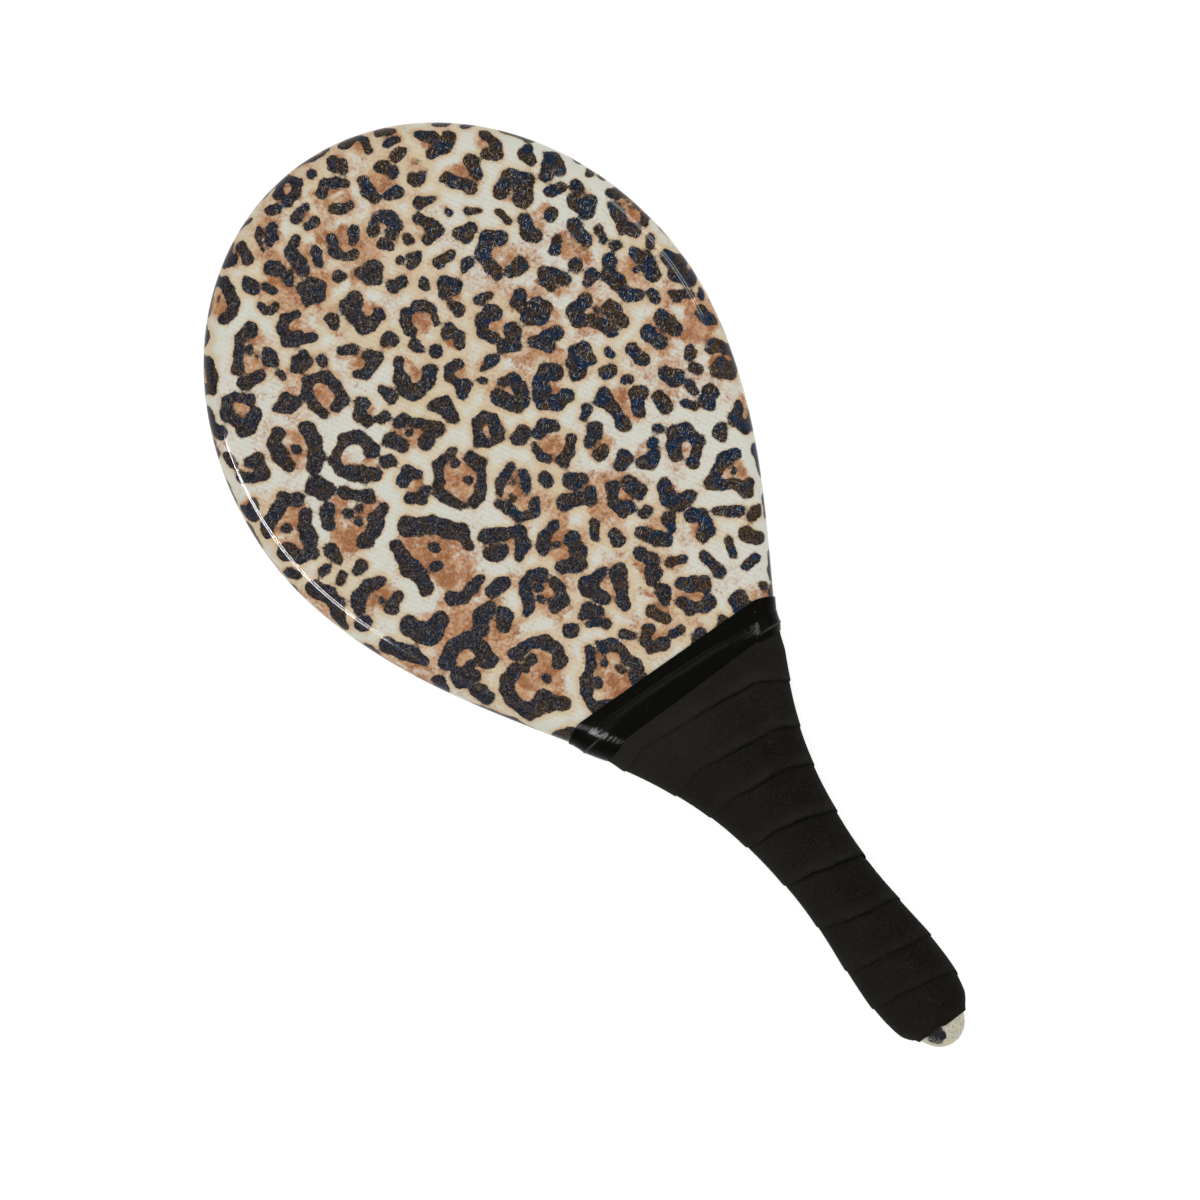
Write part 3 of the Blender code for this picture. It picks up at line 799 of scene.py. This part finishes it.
def round_columns():
    """Each column as (share of the half width, 1 front or -1 back, angle up from the rim's middle)."""
    angles = np.linspace(0.0, math.pi / 2, WRAP_RIM_STEPS + 1)
    rim = [(-1, -angle) for angle in reversed(angles)] + [(1, angle) for angle in angles[:-1]]
    across = np.linspace(-1.0, 1.0, WRAP_FLAT_STEPS + 1)[:-1]
    columns = [(share, -1, -math.pi / 2) for share in across]
    columns += [(1, up, angle) for up, angle in rim]
    columns += [(-share, 1, math.pi / 2) for share in across]
    columns += [(-1, -up, -angle) for up, angle in rim]
    return np.array(columns)


COLUMNS = round_columns()
COUNT = len(COLUMNS)


def surface(column, station, height):
    """Points at columns, this high over the body's surface. The station is the rim's there."""
    share, up, angle = np.moveaxis(COLUMNS[column % COUNT], -1, 0)
    half, slope = side_at(station)
    slant = np.hypot(1.0, slope)
    reach = RIM_RADIUS + height
    out = reach * np.cos(angle) - RIM_RADIUS
    rise = up * RIM_LAND / 2 + reach * np.sin(angle)
    return place(share * (half + out / slant), station - slope * out / slant, rise)


def shares_round(station):
    """How far round the body each column is, as a share of the way round, at each of some stations."""
    columns = np.arange(COUNT + 1)
    points = surface(columns[None, :], station[:, None], 0.0)
    steps = np.linalg.norm(np.diff(points, axis=1), axis=2)
    sums = np.concatenate((np.zeros((len(station), 1)), np.cumsum(steps, axis=1)), axis=1)
    return sums / sums[:, -1:]


def level_station(column, station, height=0.0):
    """The rim station at which each column, this high over the body, lies at this station."""
    rim = np.zeros(column.shape) + station
    for _ in range(20):
        rim = rim + 0.8 * (station - (LENGTH / 2 - surface(column, rim, height)[..., 1]))
    return rim


def tape_edges(steps):
    """Turns since the start, and the station of the tape's lower edge, after so many columns."""
    turn, column = np.divmod(GRIP_START_COLUMN + steps, COUNT)
    start = GRIP_BOTTOM + GRIP_PITCH
    rough = start - GRIP_PITCH * steps / COUNT
    started = shares_round(np.array((start,)))[0, GRIP_START_COLUMN]
    turns = turn + shares_round(rough)[np.arange(len(steps)), column] - started
    seams = FIRST_SEAM_TURN + np.arange(-1, len(SEAM_SHIFTS))
    shifts = np.array((0.0, *SEAM_SHIFTS))
    shift, _ = cubic(seams, shifts, spline_slopes(seams, shifts, 0.0, 0.0), turns)
    wander = sum(size * np.sin(math.tau * pace * turns + late) for size, pace, late in EDGE_WANDER)
    settled = smoothstep((turns - 1.0) / 0.5)
    jog = EDGE_JOG * smoothstep((turns - EDGE_JOG_TURN) / EDGE_JOG_TURNS)
    return turns, start - GRIP_PITCH * turns + shift + wander * settled - jog


def tape_outer(along, turns):
    """The tape's outer height over the body, this far up from its lower edge, where it is at full size."""
    strength = 0.80 + sum(size * np.sin(math.tau * pace * turns + late) for size, pace, late in STEP_WAVES)
    rise = GRIP_EDGE_STEP * strength[:, None] * np.clip(1 - along / GRIP_PITCH, 0.0, 1.0) ** 1.5
    hidden = smoothstep((along - GRIP_PITCH) / GRIP_OVERLAP)
    return GRIP_LOW_HEIGHT + rise - hidden * (GRIP_LOW_HEIGHT - GAP - GRIP_HIDDEN_THICKNESS)


def there_and_back(first, second):
    """Along each row of the first and back along the second's, as a section's two sides."""
    return np.concatenate((first, second[:, ::-1]), axis=1)


def grip_wrap(look):
    """The soft tape, one unbroken strip, each turn's lower edge lying on the turn below it."""
    climbed = GRIP_BOTTOM + GRIP_PITCH - GRIP_TOP - GRIP_OVERLAP - GRIP_TOP_SPARE
    steps = np.arange(int(climbed / GRIP_PITCH * COUNT) + 1)
    turns, edge = tape_edges(steps)
    column = GRIP_START_COLUMN + steps
    share = COLUMNS[column % COUNT, 0]
    bottom = level_station(column, GRIP_BOTTOM - BUTT_MARGIN + BUTT_SLANT * share, BUTT_END_HEIGHT)
    spare = BUTT_SPARE * (1 - smoothstep((turns - 1.0) / 0.10))
    low = np.maximum(edge - bottom, -spare)[:, None]
    high = np.minimum(GRIP_TAPE_WIDTH, edge - grip_end(column))[:, None]
    corner = GRIP_EDGE_ROUNDING * (1 - np.cos(np.linspace(0.0, math.pi / 2, EDGE_CORNER_STEPS)))
    spread = np.linspace(0.0, 1.0, GRIP_OUTER_STEPS)
    reach = GRIP_EDGE_ROUNDING + (high - low - GRIP_EDGE_ROUNDING) * spread[None, 1:]
    outer_along = low + np.concatenate((np.repeat(corner[None, :], len(steps), axis=0), reach), axis=1)
    inner_along = low + (high - low) * np.linspace(0.0, 1.0, GRIP_INNER_STEPS)[None, :]
    climb = smoothstep((steps - COUNT * (1 - GRIP_CLIMB_SHARE)) / (COUNT * GRIP_CLIMB_SHARE))[:, None]
    skive = smoothstep(steps / (COUNT * GRIP_SKIVE_SHARE))[:, None]
    rounding = np.minimum(outer_along - low - GRIP_EDGE_ROUNDING, 0.0)
    drop = GRIP_EDGE_ROUNDING - np.sqrt(np.clip(GRIP_EDGE_ROUNDING**2 - rounding**2, 0.0, None))
    full = tape_outer(outer_along, turns)
    skived = GRIP_SKIVED_TO + (1 - GRIP_SKIVED_TO) * skive
    outer = GAP + 2 * GRIP_TURN_CLEARANCE + (full - GAP - drop) * skived
    under = tape_outer(GRIP_PITCH + inner_along, turns - 1) + GRIP_TURN_CLEARANCE
    under = GAP + (under - GAP) * np.clip(1 - (inner_along - GRIP_OVERLAP) / GRIP_STEP_LENGTH, 0.0, 1.0)
    inner = GAP + (under - GAP) * climb
    heights = there_and_back(inner, outer)
    along = there_and_back(inner_along, outer_along)
    station = edge[:, None] - along
    keep = GRIP_SQUEEZE + (1 - GRIP_SQUEEZE) * smoothstep((station - COLLAR_BOTTOM) / SQUEEZE_RECOVERY)
    heights = GAP + (heights - GAP) * keep
    ending = smoothstep((bottom[:, None] - station) / BUTT_ENDING)
    heights = GAP + (heights - GAP) * (BUTT_END_SHARE + (1 - BUTT_END_SHARE) * ending)
    points = surface(column[:, None], station, heights)
    seam = station - tape_edges(steps + COUNT)[1][:, None]
    return wound("grip_wrap", points, {"along": along, "seam": seam}, look, "grip_tape")


def wound(name, points, attributes, look, node):
    """A strip's mesh from its sections, closed at both ends."""
    form = points.shape[:2]
    index = np.arange(form[0] * form[1]).reshape(form)
    faces = quads(np.concatenate((index, index[:, :1]), axis=1))
    faces += [index[0].tolist(), index[-1].tolist()]
    attributes = {key: np.broadcast_to(values, form).ravel() for key, values in attributes.items()}
    return finish(name, points.reshape(-1, 3), faces, attributes, look, node)


def grip_end(column):
    """The rim station of the grip's slanted upper end, under the collar, at each column."""
    share = COLUMNS[column % COUNT, 0]
    slanted = GRIP_TOP + RIDGE_SHIFT + RIDGE_SLANT * share + RIDGE_BEND * np.abs(share) ** 3
    return level_station(column, slanted)


def collar_band(look):
    """One turn and a lap of thin vinyl tape, which climbs over the upper end of the grip."""
    steps = np.arange(COUNT + COLLAR_LAP_COLUMNS + 1)
    column = COLLAR_START_COLUMN + steps
    share, _, angle = np.moveaxis(COLUMNS[column % COUNT], -1, 0)
    rim = np.cos(angle)[:, None]
    lapped = smoothstep((steps - COUNT + COLLAR_START_COLUMN) / 4)[:, None]
    lapped = lapped * (COLLAR_THICKNESS + COLLAR_LAP_GAP)
    top = COLLAR_TOP + COLLAR_SLANT * share + COLLAR_RIM_DROP * np.cos(angle) ** 1.5
    spread = np.linspace(0.0, 1.0, COLLAR_STEPS)[None, :]
    level = top[:, None] + (COLLAR_BOTTOM - top[:, None]) * spread
    station = level_station(column[:, None] + np.zeros_like(level, dtype=int), level)
    squeezed = GRIP_SQUEEZE * (GRIP_LOW_HEIGHT + GRIP_EDGE_STEP - GAP) + GRIP_TURN_CLEARANCE
    ridge = station - grip_end(column)[:, None] + RIDGE_LEAD
    climb = np.clip((ridge + COLLAR_RIDGE_LENGTH) / COLLAR_RIDGE_LENGTH, 0.0, 1.0)
    climb = 0.7 * smoothstep(climb) + 0.3 * climb * (2 - climb)
    low = GAP + lapped + squeezed * climb
    # The tape's pull: two fine folds above the ridge, and one sharper fold round each rim
    wave = np.sin(2 * steps / COUNT * math.tau)[:, None]
    folds = RIM_FOLD_HEIGHT * rim**2 * hill(ridge + RIM_FOLD_AT, RIM_FOLD_WIDTH)
    for rise, at, width, wander in COLLAR_FOLDS:
        folds = folds + rise * hill(ridge + at + wander * wave, width)
    outer = low + COLLAR_THICKNESS + folds - COLLAR_SAG * smoothstep((spread - 0.75) / 0.25)
    # A painted highlight along the fold round each rim, as a light grey line
    crease_highlight = hill(ridge + RIM_FOLD_AT, RIM_CREASE_HIGHLIGHT_WIDTH) * smoothstep(1.6 * rim)
    points = surface(column[:, None], there_and_back(station, station), there_and_back(low, outer))
    attributes = {
        "along": there_and_back(level, level),
        "turns": steps[:, None] / COUNT,
        "crease_highlight": there_and_back(crease_highlight, crease_highlight),
    }
    return wound("collar_band", points, attributes, look, "collar_tape")


# Materials


def colour(shades):
    """Red, green and blue from 0 to 255 as a screen shows them, turned to a shader's linear values."""
    linear = [s / 255 / 12.92 if s <= 10.31 else ((s / 255 + 0.055) / 1.055) ** 2.4 for s in shades]
    return (*linear, 1.0)


class Value:
    """A node's output, which can be added, subtracted and multiplied like a number."""

    def __init__(self, graph, socket):
        self.graph = graph
        self.socket = socket

    def __add__(self, other):
        return self.graph.math("ADD", self, other)

    def __sub__(self, other):
        return self.graph.math("SUBTRACT", self, other)

    def __mul__(self, other):
        return self.graph.math("MULTIPLY", self, other)


class Graph:
    """A tree of shader nodes and short ways to make and join them."""

    def __init__(self, tree):
        self.nodes = tree.nodes
        self.links = tree.links

    def feed(self, socket, value):
        """Joins a value to a socket, or sets it. A colour is given as shades from 0 to 255."""
        if isinstance(value, Value):
            self.links.new(value.socket, socket)
        elif isinstance(value, tuple) and socket.type == "RGBA":
            socket.default_value = colour(value)
        else:
            socket.default_value = value

    def node(self, kind, inputs, output=0, **settings):
        made = self.nodes.new("ShaderNode" + kind)
        for name, value in settings.items():
            setattr(made, name, value)
        for key, value in inputs.items():
            self.feed(made.inputs[key], value)
        return Value(self, made.outputs[output])

    def math(self, operation, *values, clamp=False):
        return self.node("Math", dict(enumerate(values)), operation=operation, use_clamp=clamp)

    def dot(self, vector, direction):
        return self.node("VectorMath", {0: vector, 1: direction}, "Value", operation="DOT_PRODUCT")

    def vector(self, x, y, z=0.0):
        return self.node("CombineXYZ", {"X": x, "Y": y, "Z": z})

    def attribute(self, name, output="Fac"):
        return self.node("Attribute", {}, output, attribute_name=name)

    def places(self):
        return self.node("TexCoord", {}, "Object")

    def noise(self, vector, size, detail=2.0, roughness=0.5):
        """Noise whose main features are about this size."""
        inputs = {"Vector": vector, "Scale": 1 / size, "Detail": detail, "Roughness": roughness}
        return self.node("TexNoise", inputs, "Fac")

    def smooth(self, value, low, high, to_low=0.0, to_high=1.0):
        """Goes from one value to another while the given value goes from low to high."""
        inputs = dict(enumerate((value, low, high, to_low, to_high)))
        return self.node("MapRange", inputs, interpolation_type="SMOOTHSTEP")

    def mix(self, factor, a, b, blend="MIX"):
        return self.node("Mix", {0: factor, 6: a, 7: b}, 2, data_type="RGBA", blend_type=blend)

    def bump(self, height, distance):
        return self.node("Bump", {"Height": height, "Distance": distance, "Strength": 1.0})

    def seen_directly(self):
        """1 where the camera sees a thing, itself or in gloss or through glass, and 0 elsewhere."""
        seen = self.node("LightPath", {}, "Is Camera Ray")
        for ray in ("Is Glossy Ray", "Is Transmission Ray"):
            seen = self.math("MAXIMUM", seen, self.node("LightPath", {}, ray))
        return seen


class Finish(Graph):
    """A material made of one shader."""

    def __init__(self, name, roughness):
        self.material = bpy.data.materials.new(name)
        self.material.use_nodes = True
        super().__init__(self.material.node_tree)
        self.shader = self.nodes["Principled BSDF"]
        self.set("Roughness", roughness)

    def set(self, socket, value):
        """Sets one of the shader's sockets, or joins a value to it."""
        self.feed(self.shader.inputs[socket], value)

    def made(self, base, height, depth):
        """The material, with its colour and with a relief this deep."""
        self.set("Base Color", base)
        self.set("Normal", self.bump(height, depth))
        return self.material


def thread_set(f, cloth, across, layer, wander):
    """One of the cloth's two sets of threads: places across and along it, its ribs, and streaks on it."""
    x, y = across
    over = f.dot(cloth, (x, y, 0.0)) + wander
    along = f.dot(cloth, (-y, x, 0.0))
    ribs = f.math("COSINE", over * (math.tau / THREAD_SPACING))
    streaks = f.noise(f.vector(over * 2.2, along * 0.42, layer), 1.0, 1.0)
    return over, along, ribs, streaks


def printed_cloth():
    f = Finish("printed_cloth_in_resin", 0.55)
    cloth = f.attribute("cloth", "Vector")
    flat = f.attribute("flat")
    wander = f.noise(cloth, 7 * MM) * 0.5
    across_a, along_a, ribs_a, streaks_a = thread_set(f, cloth, THREADS_A, 0.0, wander)
    across_b, _, ribs_b, streaks_b = thread_set(f, cloth, THREADS_B, 9.0, wander)
    pairs_b = f.math("COSINE", across_b * (math.pi / THREAD_SPACING))
    weave = (ribs_a * ribs_b * 0.6 + ribs_a * 0.15 + pairs_b * 0.25) * flat
    # The marks' ragged edges, and where the print is worn off the nub
    nub = f.smooth(f.dot(cloth, (0.0, 1.0, 0.0)), NUB_FROM * MM, (NUB_FROM + 10) * MM)
    fine = f.noise(cloth, 1.5 * MM, 3.0, 0.6)
    ragged = f.attribute("dark") + (fine - 0.5) * (nub * 2.0 + 1.5)
    edge = weave * 0.16 + ragged
    mark = f.smooth(edge, 0.20, -0.20)
    bare = f.smooth(f.dot(cloth, NUB_WEAR_WAY), *NUB_WEAR) * nub
    bare = f.smooth(f.noise(cloth, 0.9 * MM, 3.0, 0.7), 0.48, 0.60) * bare
    mark = f.math("MULTIPLY_ADD", bare, -0.85, mark, clamp=True)
    # The ground: white or cream in the channels, beige in patches near the marks, tan in the rosettes
    speckle = f.noise(cloth, 1.3 * MM, 4.0, 0.65)
    patch = f.noise(cloth, 5 * MM, 3.0, 0.6)
    cool = f.attribute("cool") + (patch - 0.5) + (ragged - 1.2) * 0.30
    ground = f.mix(f.smooth(cool, 0.12, 0.95), CREAM_WARM, CREAM_COOL)
    near = ragged - speckle * 1.2 - patch * 3.0 + cool * 1.6
    patchy = f.smooth(f.noise(cloth, 7 * MM, 3.0, 0.6), 0.36, 0.62)
    ground = f.mix(f.smooth(near, 0.4, -2.0) * patchy * 0.85, ground, BEIGE)
    tanned = f.attribute("tan") + (speckle - 0.5) * 1.5
    ground = f.mix(f.smooth(tanned, 0.0, 0.80), ground, TAN)
    ground = f.mix(f.smooth(tanned + (patch - 0.5) * 2.2, 0.42, 1.10), ground, BROWN)
    flecks = f.smooth(f.noise(cloth, 1.4 * MM, 4.0, 0.65), 0.50, 0.68)
    ground = f.mix(flecks * 0.34, ground, PALE_FLECK)
    worn = f.mix(f.smooth(speckle, 0.47, 0.62), WORN_CREAM, WORN_GREY)
    worn = f.mix(f.smooth(patch, 0.46, 0.60, 0.0, 0.8), worn, CREAM_WARM)
    ground = f.mix(nub, ground, worn)
    fringe = f.smooth(edge, 0.60, 0.10) * f.smooth(f.noise(cloth, 2.5 * MM, 2.0), 0.36, 0.60)
    ground = f.mix(fringe * 0.55, ground, FRINGE)
    # The marks' dye: brown, black and navy, in step with the threads, and in stronger blots to the right
    heavy = f.smooth(f.dot(cloth, HEAVY_WAY) + f.noise(cloth, 25 * MM), 0.2, 0.9)
    grain = f.noise(f.vector(across_a * 1.3, along_a * 0.7, 3.0), 1.0, 4.0, 0.8) - 0.5
    blots = f.noise(cloth, 5.5 * MM, 2.5, 0.6) - 0.5
    dye = f.attribute("navy") + grain * f.smooth(heavy, 0.0, 1.0, 3.2, 1.9)
    dye = dye + blots * f.smooth(heavy, 0.0, 1.0, 0.55, 1.0) * 4.6 + ribs_a * (heavy * -0.25 + 0.60)
    ink = f.mix(f.smooth(dye, 0.14, 0.82), INK_BROWN, INK_NAVY)
    black = f.smooth(f.noise(cloth, 0.8 * MM, 4.0, 0.75), 0.43, 0.55)
    ink = f.mix(black * 0.94, ink, INK_BLACK)
    ink = f.mix(nub * 0.75, ink, INK_WORN)
    painted = f.mix(mark, ground, ink)
    # Painted highlights: threads that seem to catch the light, as lighter dashes over the dark marks
    dashes_a = f.smooth(streaks_a, 0.59, 0.68) * f.smooth(ribs_a, 0.0, 0.8)
    dashes_b = f.smooth(streaks_b, 0.61, 0.70) * f.smooth(ribs_b, 0.0, 0.8)
    dashes = f.math("MAXIMUM", dashes_a, dashes_b) * flat
    lively = f.smooth(f.dot(cloth, LIVELY_WAY) + f.noise(cloth, 25 * MM), 0.0, 0.7, 0.45, 0.95)
    painted = f.mix(dashes * lively, painted, THREAD_HIGHLIGHT, "LIGHTEN")
    shade = f.mix(f.smooth(weave, -1.0, 1.0), THREAD_SHADE, WHITE)
    f.set("Base Color", f.mix(1.0, painted, shade, "MULTIPLY"))
    f.set("Specular IOR Level", 0.0)
    f.set("Coat Weight", 1.0)
    f.set("Coat Roughness", 0.05)
    f.set("Coat IOR", 1.22)
    return f.material


def soft_tape():
    f = Finish("soft_grip_tape", 0.88)
    places = f.places()
    x = f.dot(places, (1.0, 0.0, 0.0))
    y = f.dot(places, (0.0, 1.0, 0.0))
    grain = f.noise(places, 0.45 * MM, 4.0, 0.75)
    cells = f.noise(places, 1.6 * MM, 3.0, 0.6)
    dust = f.smooth(f.noise(places, 14 * MM, 5.0, 0.65), 0.48, 0.72)
    base = f.mix(f.smooth(grain, 0.38, 0.66), GRIP_DARK, GRIP_LIGHT)
    base = f.mix(dust * f.smooth(cells, 0.35, 0.65) * 0.30, base, GRIP_DUST_AND_LIGHT)
    # Painted light: the grip is paler to the left and up towards the collar, as if lit from there
    painted_light = f.smooth(x, *PALER_LEFT, 0.0, 0.18) + f.smooth(y, *PALER_UP, 0.0, 0.20)
    base = f.mix(painted_light, base, GRIP_DUST_AND_LIGHT)
    # Painted shade under each edge, and a painted highlight on its rounded back, both stronger to the right
    # and up the grip
    uneven = f.smooth(f.noise(places, 6 * MM, 3.0), 0.30, 0.60, 0.35, 1.0)
    stronger = f.smooth(x, *SEAMS_RIGHT, 0.20, 1.0) * f.smooth(y, *SEAMS_UP, 0.35, 1.0) * uneven
    # Painted shade just under the edge of the turn above
    under = f.smooth(f.attribute("seam"), 1.5 * MM, 0.2 * MM)
    base = f.mix(under * stronger * 0.75, base, GRIP_SEAM_SHADE)
    along = f.attribute("along")
    # Painted highlight along the rounded back of each turn
    back = f.smooth(along, 7.0 * MM, 1.2 * MM) * f.smooth(along, 0.4 * MM, 1.2 * MM)
    base = f.mix(back * stronger * 0.35, base, GRIP_DUST_AND_LIGHT)
    f.set("Specular IOR Level", 0.03)
    f.set("Sheen Weight", 0.02)
    f.set("Sheen Roughness", 0.5)
    return f.made(base, cells * 0.7 + grain, 0.18 * MM)


def vinyl():
    f = Finish("glossy_vinyl", 0.14)
    station = f.attribute("along")
    turns = f.attribute("turns")
    places = f.places()
    # Fine lines along the tape from its pull, deeper where it bends over the rims
    fine_lines = f.noise(f.vector(turns * 30.0, station * 1250.0), 1.0, 2.0)
    long_lines = f.noise(f.vector(turns * 9.0, station * 700.0, 5.0), 1.0, 3.0, 0.6)
    ripples = f.noise(f.vector(turns * 120.0, station * 90.0), 1.0, 2.0)
    waves = f.noise(places, 9 * MM, 2.0)
    bend = f.smooth(f.math("ABSOLUTE", f.dot(places, (1.0, 0.0, 0.0))), *COLLAR_BEND)
    height = waves * 1.6 + ripples * 0.12 + long_lines * 0.25 + fine_lines * (bend * 1.6 + 0.12)
    scuffs = f.smooth(f.noise(places, 2.5 * MM, 5.0, 0.7), 0.58, 0.78)
    base = f.mix(scuffs, VINYL_BLACK, VINYL_SCUFF)
    f.set("Roughness", scuffs * 0.12 + 0.10)
    f.set("Specular IOR Level", 0.036)
    # The fold round each rim gets a painted highlight
    return f.made(f.mix(f.attribute("crease_highlight"), base, VINYL_CREASE_HIGHLIGHT), height, 0.10 * MM)


def glass_laminate():
    f = Finish("glass_laminate", 0.35)
    places = f.places()
    warp = f.math("COSINE", f.dot(places, (math.tau / ROVING, 0.0, 0.0)))
    weft = f.math("COSINE", f.dot(places, (0.0, math.tau / ROVING, 0.0)))
    weave = warp * weft
    resin = f.mix(f.noise(places, 12 * MM, 3.0), LAMINATE_GREEN, LAMINATE_PALE)
    return f.made(f.mix(f.smooth(weave, -0.6, 0.9, 0.0, 0.6), resin, ROVING_WHITE), weave, 0.06 * MM)


def bond_resin():
    f = Finish("bond_resin", 0.4)
    places = f.places()
    lumps = f.noise(places, 3 * MM, 3.0, 0.6)
    bubbles = f.smooth(f.noise(places, 0.8 * MM), 0.62, 0.70)
    base = f.mix(bubbles, f.mix(lumps, BOND_LIGHT, BOND_DARK), BOND_BUBBLE)
    return f.made(base, lumps, 0.2 * MM)


def rigid_foam():
    f = Finish("rigid_foam", 0.9)
    places = f.places()
    cells = f.noise(places, 0.5 * MM, 1.0)
    tint = f.mix(f.noise(places, 20 * MM, 3.0), FOAM_LIGHT, FOAM_DARK)
    return f.made(f.mix(f.smooth(cells, 0.40, 0.30), tint, FOAM_CELL), cells, 0.15 * MM)


def handle_wood():
    f = Finish("handle_wood", 0.65)
    places = f.places()
    bent = f.noise(places, 60 * MM, 2.0) * 9.0
    rings = f.math("SINE", f.dot(places, (1500.0, 60.0, 900.0)) + bent)
    across = f.dot(places, (2500.0, 0.0, 0.0))
    fibres = f.noise(f.vector(across, f.dot(places, (0.0, 90.0, 0.0))), 1.0, 3.0, 0.6)
    grain = rings * 0.35 + fibres
    return f.made(f.mix(f.smooth(grain, 0.1, 0.9), WOOD_LIGHT, WOOD_DARK), grain, 0.05 * MM)


def dress_inner_parts():
    """The hidden solids keep their shapes and get finishes of their own."""
    laminate = glass_laminate()
    looks = {
        "front_laminate": laminate,
        "back_laminate": laminate,
        "rim_bond": bond_resin(),
        "head_core": rigid_foam(),
        "handle_core": handle_wood(),
    }
    for node, look in looks.items():
        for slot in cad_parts[node].material_slots:
            slot.material = look


# Stage, light and camera


def studio():
    scene = bpy.context.scene
    scene.view_settings.view_transform = "Standard"
    scene.world = bpy.data.worlds.new("studio")
    scene.world.use_nodes = True
    world = Graph(scene.world.node_tree)
    background = world.nodes["Background"]
    world.feed(background.inputs["Color"], WHITE)
    strength = world.smooth(world.seen_directly(), 0.0, 1.0, WORLD_LIGHT, 1.0)
    world.feed(background.inputs["Strength"], strength)


def put(name, data):
    """Makes an object of this data and puts it in the scene."""
    made = bpy.data.objects.new(name, data)
    bpy.context.scene.collection.objects.link(made)
    return made


def soft_light(name, start, end, width, radiance):
    """A softbox between two points, square to the way to the paddle's head."""
    start, end = Vector(start), Vector(end)
    along = (end - start).normalized()
    middle = (start + end) / 2
    away = middle - HEAD_MIDDLE
    away = (away - away.dot(along) * along).normalized()
    across = along.cross(away)
    data = bpy.data.lights.new(name, "AREA")
    data.shape = "RECTANGLE"
    data.size = width
    data.size_y = (end - start).length
    data.energy = radiance * data.size * data.size_y * math.pi
    lamp = put(name, data)
    lamp.matrix_world = Matrix.Translation(middle) @ Matrix((across, along, away)).transposed().to_4x4()
    return lamp


def gloss_lights(pieces, lamps):
    """Lamps that show in the gloss of these pieces and light nothing else."""
    chosen = bpy.data.collections.new("lit_" + pieces[0].name)
    for piece in pieces:
        chosen.objects.link(piece)
    for name, given in lamps.items():
        lamp = soft_light(name, *given)
        lamp.visible_diffuse = False
        lamp.light_linking.receiver_collection = chosen


def floor():
    """A plain pale floor, which glows where it is seen, so that it is white but keeps the shadow."""
    work = bmesh.new()
    bmesh.ops.create_grid(work, x_segments=8, y_segments=8, size=FLOOR_REACH)
    mesh = bpy.data.meshes.new("floor")
    work.to_mesh(mesh)
    work.free()
    made = put("floor", mesh)
    f = Finish("studio_floor", 0.9)
    f.set("Base Color", FLOOR_GREY)
    f.set("Emission Color", WHITE)
    f.set("Emission Strength", f.seen_directly() * FLOOR_GLOW)
    mesh.materials.append(f.material)


def camera():
    data = bpy.data.cameras.new("camera")
    data.type = "ORTHO"
    data.ortho_scale = PICTURE_WIDTH
    made = put("camera", data)
    made.location = (*PICTURE_CENTRE, CAMERA_HEIGHT)
    made.rotation_euler = (0.0, 0.0, PICTURE_TURN)
    bpy.context.scene.camera = made


def corners(box):
    return [[float(value) for value in corner] for corner in box]


def main():
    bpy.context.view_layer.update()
    cloth = printed_cloth()
    covers = (
        printed_cover("front_print", "front_cover", 1, cloth),
        printed_cover("back_print", "back_cover", -1, cloth),
    )
    grip_wrap(soft_tape())
    collar = collar_band(vinyl())
    dress_inner_parts()
    studio()
    gloss_lights(covers, RIM_STRIPS)
    for name, lamp in LARGE_LAMPS.items():
        soft_light(name, *lamp)
    gloss_lights((collar,), COLLAR_LAMPS)
    floor()
    camera()


main()
